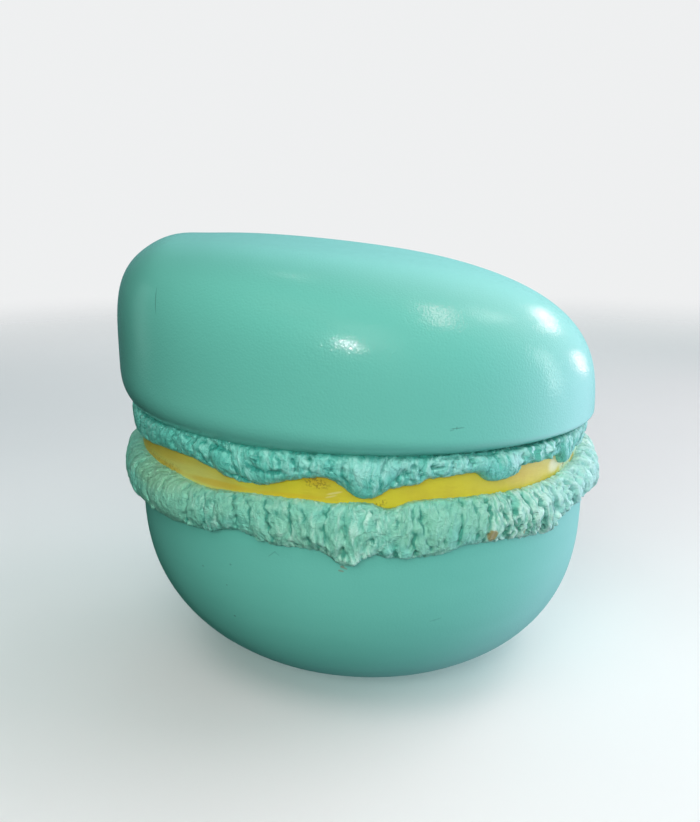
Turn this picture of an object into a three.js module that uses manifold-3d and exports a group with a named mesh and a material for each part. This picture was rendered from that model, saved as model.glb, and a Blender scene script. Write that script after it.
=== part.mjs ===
// A giant macaron made as a display prop: two domed shells carved from foam and hard-coated,
// a disc of filling between them, and a rope of gunned foam squeezed out round each shell's edge.
// It is five solids stacked along an upright axis, and it rests on the bottom shell's flat base.
// Lengths are in millimetres. A bearing is an angle in degrees about the upright axis, 0 at the
// front (-Y) and 90 at the right (+X), and "across" is the sine of a bearing: 1 at the right.

import * as THREE from 'three';
import Module from 'manifold-3d';

const wasm = await Module();
wasm.setup();

// Driving dimensions.
const GAP = 0.3; // clearance between touching solids
const SHELL_TURNS = 64; // steps round a shell or the filling
const FOOT_TURNS = 96; // steps round a foot

// The top shell leans: its widest line and its crown both fall towards the right.
const TOP = {
  radius: 240,
  shift: -1.1, // its axis lies this far right of the middle
  waistHeight: 288.8,
  waistTilt: -24.55, // what the widest line gains from the axis to the right edge
  rise: 129.4, // from the widest line up to the crown
  riseTilt: -3.85,
  drop: 45, // depth of the curve that tucks under
  dropTilt: -28.4,
  seatHeight: 266, // flat underside, at the axis
  seatTilt: -8,
  crownRows: 12,
  tuckRows: 4,
};

// The bottom shell is a bowl with a small flat base and a short rounded shoulder.
const BOTTOM = {
  radius: 228.2,
  shift: 2.6,
  waistHeight: 171.7,
  sphereDepth: 176.9, // the bowl's full depth, cut off at the floor
  seatHeight: 200, // flat top, under the foot
  seatRadius: 212,
  shoulderPower: 4,
  bowlRows: 10,
  shoulderRows: 4,
};

const FILLING = {
  radius: 224,
  bottom: 214,
  top: 256, // at the axis
  topTilt: -4,
  rounding: 2.5, // radius of its two rims
  swell: 0.8, // unevenness of its edge
};

// A foot's visible edges are a mean height, two waves round the ring, and lobes that hang below
// (drop > 0) or are pulled up (drop < 0). at and spread are bearings. Between its edges the roll
// bulges out by a mean that differs between front and sides by twice the ovality.
const BOTTOM_FOOT = {
  upperEdge: {
    mean: 230,
    waves: [[-3.6, -2.6], [0.1, 0.8]],
    lobes: [
      { at: -7, spread: 3, drop: 1.5 },
      { at: 5.8, spread: 3, drop: 6 },
      { at: 45, spread: 19, drop: 5 },
      { at: 118, spread: 8, drop: 3.5 },
      { at: 171, spread: 11, drop: -3 },
      { at: -133, spread: 9, drop: 4 },
    ],
  },
  lowerEdge: {
    mean: 185.4,
    waves: [[-1, -2], [2, -0.9]],
    lobes: [
      { at: -27, spread: 5, drop: -6.3 },
      { at: -3.7, spread: 3.6, drop: 11 },
      { at: 8.8, spread: 6, drop: 7.1 },
      { at: 16, spread: 3.2, drop: 3.3 },
      { at: 66, spread: 10, drop: -6.3 },
      { at: 104, spread: 7, drop: 5 },
      { at: 139, spread: 5, drop: 8 },
      { at: 176, spread: 12, drop: 5 },
      { at: -148, spread: 6, drop: 9 },
      { at: -109, spread: 8, drop: 4 },
    ],
  },
  bulge: { mean: 16.8, ovality: -3, power: 0.7 },
};

const TOP_FOOT = {
  lowerEdge: {
    mean: 246.1,
    waves: [[0.9, -1.9], [3.7, -2.2]],
    lobes: [
      { at: -23.7, spread: 10.1, drop: 14.5 },
      { at: -2.5, spread: 3.3, drop: 5.9 },
      { at: 1.8, spread: 6.5, drop: 14.6 },
      { at: 31.7, spread: 2.4, drop: 9.6 },
      { at: 51.8, spread: 2, drop: 6 },
      { at: 65.5, spread: 3.2, drop: 5 },
      { at: 86, spread: 7, drop: 3 },
      { at: 112, spread: 5, drop: 10 },
      { at: 149, spread: 10, drop: 8 },
      { at: -171, spread: 6, drop: 12 },
      { at: -142, spread: 8, drop: 7 },
      { at: -108, spread: 9, drop: 10 },
      { at: -84, spread: 4, drop: 4 },
    ],
  },
  upperEdge: { mean: 273, waves: [[0, -9]], lobes: [] },
  bulge: { mean: 10.5, ovality: 1.5, power: 0.8 },
};

const LOBE_POWER = 2.5;
const LAYER_LAP = 8; // how far a layer's faces run into its neighbours, before the cuts
const ROLL_TUCK = 2; // how far a roll's edges run in behind what they meet, before the cuts
const ROLL_ROWS = 6; // steps round the outside of a foot's roll

const PAINT = {
  topShell: { color: 0x6cbfad, roughness: 0.35, metalness: 0 },
  bottomShell: { color: 0x64ae9f, roughness: 0.45, metalness: 0 },
  topFoot: { color: 0x72bfae, roughness: 0.5, metalness: 0 },
  bottomFoot: { color: 0x86c4ac, roughness: 0.55, metalness: 0 },
  filling: { color: 0xc3b73a, roughness: 0.5, metalness: 0 },
};

const across = (bearing) => Math.sin(THREE.MathUtils.degToRad(bearing));
const ahead = (bearing) => Math.cos(THREE.MathUtils.degToRad(bearing));
const point = (radius, height) => new THREE.Vector2(radius, height);

// One quarter of a superellipse: its two coordinates, from (1, 0) at angle 0 to (0, 1).
function quarter(angle, power) {
  return { out: Math.cos(angle) ** (2 / power), along: Math.sin(angle) ** (2 / power) };
}

// The angle at which a quarter has gone this share of its way along.
function angleAt(along, power) {
  return Math.asin(Math.min(1, Math.max(0, along)) ** (power / 2));
}

// Values from first to last, both included, in the given number of steps.
function steps(first, last, count) {
  return Array.from({ length: count + 1 }, (_, i) => first + ((last - first) * i) / count);
}

// A closed solid about the upright axis. profileAt(bearing) lists points from the lowest one on
// the axis, out and round, to the highest one on the axis, as many for every bearing.
function loft(turns, shift, profileAt) {
  const columns = Array.from({ length: turns }, (_, i) => profileAt((360 * i) / turns));
  const rings = columns[0].length - 2;
  const positions = [];
  const indices = [];
  positions.push(shift, 0, columns[0][0].y, shift, 0, columns[0][rings + 1].y);
  columns.forEach((profile, i) => {
    const bearing = (360 * i) / turns;
    profile.slice(1, -1).forEach((p) => {
      positions.push(shift + p.x * across(bearing), -p.x * ahead(bearing), p.y);
    });
  });
  for (let i = 0; i < turns; i += 1) {
    const here = 2 + i * rings;
    const next = 2 + ((i + 1) % turns) * rings;
    indices.push(0, next, here);
    for (let j = 0; j < rings - 1; j += 1) {
      indices.push(here + j, next + j, next + j + 1);
      indices.push(here + j, next + j + 1, here + j + 1);
    }
    indices.push(1, here + rings - 1, next + rings - 1);
  }
  return new wasm.Manifold(new wasm.Mesh({
    numProp: 3,
    vertProperties: new Float32Array(positions),
    triVerts: new Uint32Array(indices),
  }));
}

// The top shell's crown and tuck at one bearing, as functions of the quarter's angle.
function topCrown(bearing, angle) {
  const side = across(bearing);
  const power = 4.023 - 0.701 * side - 0.489 * side * side;
  const { out, along } = quarter(angle, power);
  const tilt = out * side;
  const rise = TOP.rise + TOP.riseTilt * tilt;
  return point(TOP.radius * out, TOP.waistHeight + TOP.waistTilt * tilt + rise * along);
}

function topTuck(bearing, angle) {
  const side = across(bearing);
  const { out, along } = quarter(angle, 2.694 - 0.511 * side);
  const tilt = out * side;
  const drop = TOP.drop + TOP.dropTilt * tilt;
  return point(TOP.radius * out, TOP.waistHeight + TOP.waistTilt * tilt - drop * along);
}

// The height of the top shell's flat underside at a radius.
function topSeat(bearing, radius) {
  return TOP.seatHeight + (TOP.seatTilt * radius * across(bearing)) / TOP.radius;
}

// Where the tuck comes down to the flat underside, found by halving.
function tuckEnd(bearing) {
  let low = 0;
  let high = Math.PI / 2;
  for (let i = 0; i < 40; i += 1) {
    const middle = (low + high) / 2;
    const p = topTuck(bearing, middle);
    if (p.y > topSeat(bearing, p.x)) low = middle;
    else high = middle;
  }
  return low;
}

function topShellProfile(bearing, extra) {
  const tuck = steps(tuckEnd(bearing), 0, TOP.tuckRows).map((a) => topTuck(bearing, a));
  const crown = steps(0, Math.PI / 2, TOP.crownRows).map((a) => topCrown(bearing, a));
  crown[TOP.crownRows].x = 0;
  const outside = [...tuck, ...crown.slice(1, -1)];
  outside.forEach((p) => p.set(p.x + extra, p.y));
  outside[0].y -= extra;
  return [point(0, TOP.seatHeight - extra), ...outside, crown[TOP.crownRows]];
}

function bottomShellProfile(bearing, extra) {
  const power = 2.435 + 0.153 * across(bearing);
  const base = angleAt(BOTTOM.waistHeight / BOTTOM.sphereDepth, power);
  const bowl = steps(base, 0, BOTTOM.bowlRows).map((angle) => {
    const { out, along } = quarter(angle, power);
    return point(BOTTOM.radius * out, BOTTOM.waistHeight - BOTTOM.sphereDepth * along);
  });
  bowl[0].y = 0;
  const inset = BOTTOM.radius - BOTTOM.seatRadius;
  const height = BOTTOM.seatHeight - BOTTOM.waistHeight;
  const shoulder = steps(0, Math.PI / 2, BOTTOM.shoulderRows).slice(1).map((angle) => {
    const { out, along } = quarter(angle, BOTTOM.shoulderPower);
    return point(BOTTOM.seatRadius + inset * out, BOTTOM.waistHeight + height * along);
  });
  const outside = [...bowl, ...shoulder];
  outside.forEach((p) => p.set(p.x + extra, p.y));
  outside[outside.length - 1].y += extra;
  return [point(0, 0), ...outside, point(0, BOTTOM.seatHeight + extra)];
}

function fillingProfile(bearing, extra) {
  const uneven = across(3 * bearing + 40) + across(5 * bearing - 70);
  const radius = FILLING.radius + FILLING.swell * uneven + extra;
  const bottom = FILLING.bottom - extra;
  const top = FILLING.top + FILLING.topTilt * across(bearing) + extra;
  const round = FILLING.rounding;
  return [
    point(0, bottom),
    point(radius - round, bottom),
    point(radius, bottom + round),
    point(radius, top - round),
    point(radius - round, top),
    point(0, FILLING.top + extra),
  ];
}

// The height of a foot's edge line at a bearing.
function edgeHeight(edge, bearing) {
  const wave = edge.waves.reduce(
    (sum, [even, odd], i) => sum + even * ahead((i + 1) * bearing) + odd * across((i + 1) * bearing),
    edge.mean,
  );
  return edge.lobes.reduce((sum, { at, spread, drop }) => {
    const away = Math.abs(((bearing - at + 540) % 360) - 180) / spread;
    return sum - drop * Math.exp(-(away ** LOBE_POWER));
  }, wave);
}

// The outside of a roll between its two edges. A bulge of power 1 is half an ellipse, and a
// lower power makes it squarer.
function roll(from, to, bulge, bearing) {
  const middle = from.clone().add(to).multiplyScalar(0.5);
  const half = to.clone().sub(from).multiplyScalar(0.5);
  const outward = point(half.y, -half.x).normalize();
  const depth = bulge.mean + bulge.ovality * ahead(2 * bearing);
  return steps(0, Math.PI, ROLL_ROWS).map((angle) => middle.clone()
    .addScaledVector(half, -Math.cos(angle))
    .addScaledVector(outward, depth * Math.max(0, Math.sin(angle)) ** bulge.power));
}

// A foot before its neighbours are cut from it: a layer right through, with the roll as its rim.
function bottomFootProfile(bearing) {
  const shellRadius = BOTTOM.radius + BOTTOM.shift * across(bearing);
  const from = point(shellRadius - ROLL_TUCK, edgeHeight(BOTTOM_FOOT.lowerEdge, bearing));
  const to = point(FILLING.radius - ROLL_TUCK, edgeHeight(BOTTOM_FOOT.upperEdge, bearing));
  const inside = BOTTOM.seatRadius - LAYER_LAP;
  return [
    point(0, BOTTOM.seatHeight - LAYER_LAP),
    point(inside, BOTTOM.seatHeight - LAYER_LAP),
    ...roll(from, to, BOTTOM_FOOT.bulge, bearing),
    point(inside, FILLING.bottom + LAYER_LAP),
    point(0, FILLING.bottom + LAYER_LAP),
  ];
}

function topFootProfile(bearing) {
  const from = point(FILLING.radius - ROLL_TUCK, edgeHeight(TOP_FOOT.lowerEdge, bearing));
  const to = point(FILLING.radius, edgeHeight(TOP_FOOT.upperEdge, bearing));
  const inside = BOTTOM.seatRadius - LAYER_LAP;
  return [
    point(0, FILLING.top - LAYER_LAP),
    point(inside, FILLING.top - LAYER_LAP),
    ...roll(from, to, TOP_FOOT.bulge, bearing),
    point(inside, topSeat(bearing, inside) + LAYER_LAP),
    point(0, TOP.seatHeight + LAYER_LAP),
  ];
}

const shellTop = (extra) => loft(SHELL_TURNS, TOP.shift, (b) => topShellProfile(b, extra));
const shellBottom = (extra) => loft(SHELL_TURNS, BOTTOM.shift, (b) => bottomShellProfile(b, extra));
const filling = (extra) => loft(SHELL_TURNS, 0, (b) => fillingProfile(b, extra));

function bottomFoot() {
  return loft(FOOT_TURNS, 0, bottomFootProfile).subtract(shellBottom(GAP)).subtract(filling(GAP));
}

function topFoot() {
  return loft(FOOT_TURNS, 0, topFootProfile).subtract(shellTop(GAP)).subtract(filling(GAP));
}

// A named mesh in its paint, from a solid.
function painted(name, solid, paint) {
  const { vertProperties, triVerts } = solid.getMesh();
  const geometry = new THREE.BufferGeometry();
  geometry.setAttribute('position', new THREE.BufferAttribute(vertProperties, 3));
  geometry.setIndex(new THREE.BufferAttribute(triVerts, 1));
  const mesh = new THREE.Mesh(geometry, new THREE.MeshStandardMaterial(paint));
  mesh.name = name;
  return mesh;
}

const macaron = new THREE.Group();
macaron.add(painted('shell_bottom', shellBottom(0), PAINT.bottomShell));
macaron.add(painted('foot_bottom', bottomFoot(), PAINT.bottomFoot));
macaron.add(painted('filling', filling(0), PAINT.filling));
macaron.add(painted('foot_top', topFoot(), PAINT.topFoot));
macaron.add(painted('shell_top', shellTop(0), PAINT.topShell));

export default macaron;
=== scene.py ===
"""A giant macaron made as a display prop, dressed over its CAD frame.

Two carved and hard-coated foam shells, a painted disc of filling, and a rope of gunned foam
squeezed out round each shell's edge. Each of the frame's five solids is replaced by a finer
mesh of the same size. The shells and the filling are grown by a Geometry Nodes tree from the
rule of their outline, and a second tree raises the threads, wrinkles and lumps of the foam over
a roll whose drips, folds and pits are placed one by one.

Lengths are in metres. A bearing is an angle in degrees about the upright axis, 0 at the front
(-Y) and 90 at the right (+X).
"""

from __future__ import annotations

import logging
import math
from dataclasses import dataclass
from enum import Enum
from typing import Any, Callable, Mapping, Sequence, Union

import bpy
import numpy as np
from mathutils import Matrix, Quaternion, Vector

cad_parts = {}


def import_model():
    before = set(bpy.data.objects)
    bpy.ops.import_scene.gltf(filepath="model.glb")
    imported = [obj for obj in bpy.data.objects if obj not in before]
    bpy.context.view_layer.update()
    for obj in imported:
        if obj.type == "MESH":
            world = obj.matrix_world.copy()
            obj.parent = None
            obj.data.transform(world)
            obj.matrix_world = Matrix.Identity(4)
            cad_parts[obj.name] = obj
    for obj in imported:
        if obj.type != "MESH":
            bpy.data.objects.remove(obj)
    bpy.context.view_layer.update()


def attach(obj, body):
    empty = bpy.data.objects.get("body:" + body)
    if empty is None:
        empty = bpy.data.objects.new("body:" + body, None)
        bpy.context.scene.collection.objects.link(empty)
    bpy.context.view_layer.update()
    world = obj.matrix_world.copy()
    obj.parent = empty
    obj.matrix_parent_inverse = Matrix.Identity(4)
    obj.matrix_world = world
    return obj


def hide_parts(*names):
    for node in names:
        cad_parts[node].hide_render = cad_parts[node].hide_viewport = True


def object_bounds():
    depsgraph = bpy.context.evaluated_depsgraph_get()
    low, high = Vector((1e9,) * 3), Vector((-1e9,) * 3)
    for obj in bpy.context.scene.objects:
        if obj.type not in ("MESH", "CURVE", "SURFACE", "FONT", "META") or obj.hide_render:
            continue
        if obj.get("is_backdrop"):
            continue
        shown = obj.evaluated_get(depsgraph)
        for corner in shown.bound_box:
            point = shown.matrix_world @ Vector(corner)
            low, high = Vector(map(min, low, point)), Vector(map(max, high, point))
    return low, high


log = logging.getLogger("macaron")

MM = 0.001
FULL_TURN = 2 * math.pi
HIGHEST = 1.0  # metres, over everything
SEAM = 0.01 * MM  # points closer than this are one
MARK_REACH, MARK_ROUNDING = 1.6, 0.3  # how a round reach, in half sizes, keeps a mark short
MARK_EDGE = 0.85  # how far from a mark's middle its edge lies, squared, in half sizes
GLOW_POWER = 5.0  # how narrow the surround's glows are
BODY = "root"

Colour = tuple[float, float, float]
Point = tuple[float, float, float]


class Kept(Enum):
    """What a foot's mesh keeps on its points, each under its own name."""

    BEARING = "bearing"
    ROUND = "round"  # the share of the way round the roll
    EXPOSED = "exposed"  # 1 on the roll, 0 on the layer's hidden faces
    CARVED = "carved"  # how deep the folds and dents go
    CUT = "cut"  # how sharply it is cut, which sets the painted shade in the creases and pits
    DRAWN = "drawn"  # how far the foam is drawn sideways
    TORN = "torn"
    ROUGH = "rough"
    # how far the ridges are painted paler, as rubbed paint and as painted highlight
    CREST = "crest"
    LAY = "lay"  # the place on the unrolled foam, in metres


def rgba(colour: Colour) -> tuple[float, float, float, float]:
    """An opaque colour for a socket."""
    return (*colour, 1.0)


def labels(sizes: Any) -> dict[str, float]:
    """The fields of a dataclass of sizes as the named inputs of a tree."""
    return {name.replace("_", " ").title(): float(v) for name, v in vars(sizes).items()}


def towards(bearing: float, elevation: float) -> Vector:
    """A unit direction out from the upright axis.

    Args:
        bearing: its bearing in degrees.
        elevation: its angle over level in degrees.

    Returns:
        The direction.
    """
    turn, lift = math.radians(bearing), math.radians(elevation)
    level = math.cos(lift)
    return Vector((math.sin(turn) * level, -math.cos(turn) * level, math.sin(lift)))


def apart(bearing: np.ndarray, middle: float) -> np.ndarray:
    """How many degrees bearings lie past a middle one, from -180 to 180."""
    return (bearing - middle + 540) % 360 - 180


# --------------------------------------------------------------------------- node writing


def operator(operation: str, reflected: bool = False) -> Callable[[Field, Value], Field]:
    """Makes the method for one operator of Python.

    Args:
        operation: the Math node's operation.
        reflected: whether the Field stands on the operator's right.

    Returns:
        The method.
    """

    def method(self: Field, other: Value) -> Field:
        """The result of a Math node on both values."""
        return self.graph.math(operation, *((other, self) if reflected else (self, other)))

    return method


class Field:
    """A socket that takes part in Python sums: each operator adds a Math node."""

    def __init__(self, graph: Graph, socket: bpy.types.NodeSocket) -> None:
        """Wraps a socket of the graph's tree."""
        self.graph = graph
        self.socket = socket

    __add__, __radd__ = operator("ADD"), operator("ADD", True)
    __sub__, __rsub__ = operator("SUBTRACT"), operator("SUBTRACT", True)
    __mul__, __rmul__ = operator("MULTIPLY"), operator("MULTIPLY", True)
    __truediv__, __rtruediv__ = operator("DIVIDE"), operator("DIVIDE", True)
    __pow__ = operator("POWER")

    def __neg__(self) -> Field:
        """-self."""
        return self.graph.math("MULTIPLY", self, -1.0)

    def __abs__(self) -> Field:
        """abs(self)."""
        return self.graph.math("ABSOLUTE", self)


Value = Union[Field, float, int]


class Graph:
    """Writes nodes into one shader or geometry tree."""

    def __init__(self, tree: bpy.types.NodeTree) -> None:
        """Wraps a node tree."""
        self.tree = tree

    def node(
        self,
        kind: str,
        settings: Mapping[str, Any] | None = None,
        inputs: Mapping[Any, Any] | None = None,
    ) -> bpy.types.Node:
        """Adds any node.

        Args:
            kind: the node's type, such as "ShaderNodeMath".
            settings: its properties, set before its sockets.
            inputs: what goes into its sockets, by name or number: a Field, or a constant.

        Returns:
            The new node.
        """
        node = self.tree.nodes.new(kind)
        for name, value in (settings or {}).items():
            setattr(node, name, value)
        for key, value in (inputs or {}).items():
            self.plug(node.inputs[key], value)
        return node

    def plug(self, socket: bpy.types.NodeSocket, value: Any) -> None:
        """Fills a socket.

        Args:
            socket: the socket.
            value: a Field, which is linked to it, or a constant, which is set on it.
        """
        if isinstance(value, Field):
            self.tree.links.new(value.socket, socket)
        else:
            socket.default_value = value

    def out(self, node: bpy.types.Node, output: Union[str, int] = 0) -> Field:
        """One output of a node, as a Field."""
        return Field(self, node.outputs[output])

    def math(self, operation: str, *values: Value) -> Field:
        """A Math node's result."""
        node = self.node("ShaderNodeMath", {"operation": operation}, dict(enumerate(values)))
        return self.out(node)

    def vector_math(self, operation: str, *values: Any) -> Field:
        """Adds a Vector Math node.

        Args:
            operation: its operation.
            values: Fields or constants for its sockets, in order.

        Returns:
            Its result: a number for the operations that give one, or a vector.
        """
        node = self.node("ShaderNodeVectorMath", {"operation": operation})
        sockets = [s for s in node.inputs if s.enabled]
        for socket, value in zip(sockets, values):
            self.plug(socket, value)
        return self.out(node, "Value" if operation in ("DOT_PRODUCT", "LENGTH") else "Vector")

    def vector(self, x: Value, y: Value, z: Value) -> Field:
        """A vector from its three parts."""
        return self.out(self.node("ShaderNodeCombineXYZ", inputs={0: x, 1: y, 2: z}))

    def split(self, vector: Field) -> tuple[Field, Field, Field]:
        """The three parts of a vector."""
        node = self.node("ShaderNodeSeparateXYZ", inputs={0: vector})
        return self.out(node, 0), self.out(node, 1), self.out(node, 2)

    def ramp(self, value: Value, low: Value, high: Value, top: float = 1.0) -> Field:
        """A smooth step.

        Args:
            value: the number that it follows.
            low: the value up to which the step is 0.
            high: the value from which it is at its top.
            top: the height of the step.

        Returns:
            The step.
        """
        node = self.node(
            "ShaderNodeMapRange",
            {"interpolation_type": "SMOOTHSTEP", "clamp": True},
            {"Value": value, "From Min": low, "From Max": high, "To Min": 0.0, "To Max": top},
        )
        return self.out(node)

    def noise(self, vector: Field, scale: float, detail: float = 2.0, **more: Any) -> Field:
        """Smooth noise from 0 to 1, at a scale in waves to a unit of the vector."""
        inputs = {"Vector": vector, "Scale": scale, "Detail": detail, **more}
        return self.out(self.node("ShaderNodeTexNoise", inputs=inputs))

    def lumps(self, vector: Field, scale: float, smoothness: float) -> Field:
        """Rounded cells, as the distance from their middles.

        Args:
            vector: the place.
            scale: how many cells there are to a unit of the vector.
            smoothness: how rounded they are.

        Returns:
            The distance.
        """
        inputs = {"Vector": vector, "Scale": scale, "Smoothness": smoothness}
        node = self.node("ShaderNodeTexVoronoi", {"feature": "SMOOTH_F1"}, inputs)
        return self.out(node, "Distance")

    def mix(self, share: Value, first: Any, second: Any) -> Field:
        """Mixes two colours.

        Args:
            share: how much of the second there is, from 0 to 1.
            first: a Field or a Colour.
            second: the same.

        Returns:
            The mixed colour.
        """
        node = self.node("ShaderNodeMix", {"data_type": "RGBA"})
        enabled = {s.name: s for s in node.inputs if s.enabled}
        self.plug(enabled["Factor"], share)
        for name, value in (("A", first), ("B", second)):
            self.plug(enabled[name], value if isinstance(value, Field) else rgba(value))
        return Field(self, next(s for s in node.outputs if s.enabled))


class Recipe(Graph):
    """A Geometry Nodes tree with named inputs, which is run once on an object."""

    SOCKETS = {float: "NodeSocketFloat", int: "NodeSocketInt"}

    def __init__(self, name: str, inputs: Mapping[str, Union[float, int]]) -> None:
        """Opens a tree.

        Args:
            name: the tree's name.
            inputs: its named inputs and their values, besides Geometry and Material.
        """
        super().__init__(bpy.data.node_groups.new(name, "GeometryNodeTree"))
        face = self.tree.interface
        face.new_socket("Geometry", in_out="INPUT", socket_type="NodeSocketGeometry")
        face.new_socket("Geometry", in_out="OUTPUT", socket_type="NodeSocketGeometry")
        for label, value in inputs.items():
            face.new_socket(label, in_out="INPUT", socket_type=self.SOCKETS[type(value)])
        face.new_socket("Material", in_out="INPUT", socket_type="NodeSocketMaterial")
        self.values = dict(inputs)
        self.entry = self.node("NodeGroupInput")

    def given(self, label: str) -> Field:
        """A named input of the tree."""
        return self.out(self.entry, label)

    def kept(self, what: Kept) -> Field:
        """A number kept on the points."""
        inputs = {"Name": what.value}
        return self.out(self.node("GeometryNodeInputNamedAttribute", inputs=inputs), "Attribute")

    def keep(self, geometry: Field, what: Kept, value: Field, kind: str = "FLOAT") -> Field:
        """Keeps a number or a vector on the points.

        Args:
            geometry: the geometry.
            what: what it is kept as.
            value: the number or vector.
            kind: "FLOAT" or "FLOAT_VECTOR".

        Returns:
            The geometry with the value kept.
        """
        settings = {"data_type": kind, "domain": "POINT"}
        inputs = {"Geometry": geometry, "Name": what.value, "Value": value}
        return self.out(self.node("GeometryNodeStoreNamedAttribute", settings, inputs))

    def finish(self, geometry: Field) -> None:
        """Ends the tree: smooth faces, instances realized, the material set.

        Args:
            geometry: the finished geometry.
        """
        smooth = self.node("GeometryNodeSetShadeSmooth", inputs={"Geometry": geometry})
        real = self.node("GeometryNodeRealizeInstances", inputs={"Geometry": self.out(smooth)})
        dressed = self.node(
            "GeometryNodeSetMaterial",
            inputs={"Geometry": self.out(real), "Material": self.given("Material")},
        )
        self.node("NodeGroupOutput", inputs={"Geometry": self.out(dressed)})

    def run(self, piece: bpy.types.Object, material: bpy.types.Material) -> bpy.types.Object:
        """Runs the tree on an object and keeps the result as its plain mesh.

        Args:
            piece: the object, whose mesh goes in as Geometry.
            material: the finish of the result.

        Returns:
            The same object, with no modifier left.
        """
        modifier = piece.modifiers.new(self.tree.name, "NODES")
        modifier.node_group = self.tree
        wanted = {**self.values, "Material": material}
        for item in self.tree.interface.items_tree:
            if item.in_out == "INPUT" and item.name in wanted:
                modifier[item.identifier] = wanted[item.name]
        graph = bpy.context.evaluated_depsgraph_get()
        made = bpy.data.meshes.new_from_object(
            piece.evaluated_get(graph), preserve_all_data_layers=True, depsgraph=graph
        )
        made.name = piece.name
        piece.modifiers.remove(modifier)
        piece.data = made
        return piece


def place_object(
    name: str, data: bpy.types.Mesh | bpy.types.Light | bpy.types.Camera
) -> bpy.types.Object:
    """Puts an object in the scene, at the origin.

    Args:
        name: its name.
        data: its mesh, light or camera.

    Returns:
        The object.
    """
    placed = bpy.data.objects.new(name, data)
    bpy.context.scene.collection.objects.link(placed)
    return placed


# --------------------------------------------------------------------------- finishes


class Shader(Graph):
    """A material's tree, with the coordinates and patterns that the finishes share."""

    def __init__(self, name: str) -> None:
        """Opens a material with an empty tree.

        Args:
            name: the material's name.
        """
        self.material = bpy.data.materials.new(name)
        self.material.use_nodes = True
        super().__init__(self.material.node_tree)
        self.tree.nodes.clear()
        self.place = self.out(self.node("ShaderNodeTexCoord"), "Object")

    def kept(self, what: Kept, output: str = "Fac") -> Field:
        """A number kept on the mesh, or a vector with "Vector" as the output."""
        return self.out(self.node("ShaderNodeAttribute", {"attribute_name": what.value}), output)

    def scaled(self, vector: Field, scale: Point) -> Field:
        """A vector scaled along each axis."""
        return self.out(self.node("ShaderNodeMapping", inputs={"Vector": vector, "Scale": scale}))

    def spot(self, mark: Mark, ragged: Field) -> Field:
        """Where a mark lies.

        Args:
            mark: the mark, with its place and its half sizes.
            ragged: noise from 0 to 1 that breaks its outline.

        Returns:
            1 on the mark, 0 off it.
        """
        away = self.vector_math("SUBTRACT", self.place, tuple(x * MM for x in mark.centre))
        along, across = mark.directions()
        length = self.vector_math("DOT_PRODUCT", away, along) / (mark.half_length * MM)
        width = self.vector_math("DOT_PRODUCT", away, across) / (mark.half_width * MM)
        reach = max(mark.half_length, mark.half_width) * MARK_REACH * MM
        far = self.vector_math("LENGTH", away) / reach
        size = length * length + width * width + far * far * MARK_ROUNDING
        edge = size + (ragged - 0.5) * mark.raggedness
        off, on = MARK_EDGE + mark.softness, MARK_EDGE - mark.softness
        return self.ramp(edge, off, on, mark.strength)

    def marked(self, colour: Field, marks: Sequence[Mark], ragged: Field, tint: Colour) -> Field:
        """Puts a tint on marks.

        Args:
            colour: the colour under them.
            marks: the marks.
            ragged: noise from 0 to 1 that breaks their outlines.
            tint: their colour.

        Returns:
            The colour with the marks on it.
        """
        for mark in marks:
            colour = self.mix(self.spot(mark, ragged), colour, tint)
        return colour

    def finish(
        self,
        colour: Field,
        roughness: Value,
        relief: Field,
        distance: float,
        **others: Value,
    ) -> bpy.types.Material:
        """Ends the tree in one Principled shader.

        Args:
            colour: the base colour.
            roughness: the roughness.
            relief: the height of the fine surface, from 0 to about 1.
            distance: the height in metres that a relief of 1 stands for.
            others: values for other sockets, by name with _ for a space.

        Returns:
            The material.
        """
        bump = self.node("ShaderNodeBump", inputs={"Height": relief, "Distance": distance})
        inputs = {"Base Color": colour, "Roughness": roughness, "Normal": self.out(bump)}
        inputs |= {key.replace("_", " "): value for key, value in others.items()}
        body = self.node("ShaderNodeBsdfPrincipled", inputs=inputs)
        self.node("ShaderNodeOutputMaterial", inputs={"Surface": self.out(body)})
        return self.material


@dataclass(frozen=True)
class Mark:
    """A scratch, scuff, stain or chip: an oval patch on a surface, in millimetres."""

    centre: Point
    half_length: float
    half_width: float
    turn: float = 0.0  # degrees, from level towards upright
    strength: float = 1.0
    raggedness: float = 0.8
    softness: float = 0.3  # how gently its edge fades

    def directions(self) -> tuple[Point, Point]:
        """How the mark lies on its upright wall.

        Returns:
            The unit directions along it and across it.
        """
        up = Vector((0, 0, 1))
        level = up.cross(Vector((self.centre[0], self.centre[1], 0)).normalized())
        angle = math.radians(self.turn)
        along = level * math.cos(angle) + up * math.sin(angle)
        across = up * math.cos(angle) - level * math.sin(angle)
        return tuple(along), tuple(across)


def patches(*rows: tuple[float, ...]) -> tuple[Mark, ...]:
    """Marks from rows of a centre's three parts and of a mark's other fields."""
    return tuple(Mark(row[:3], *row[3:]) for row in rows)


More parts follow.
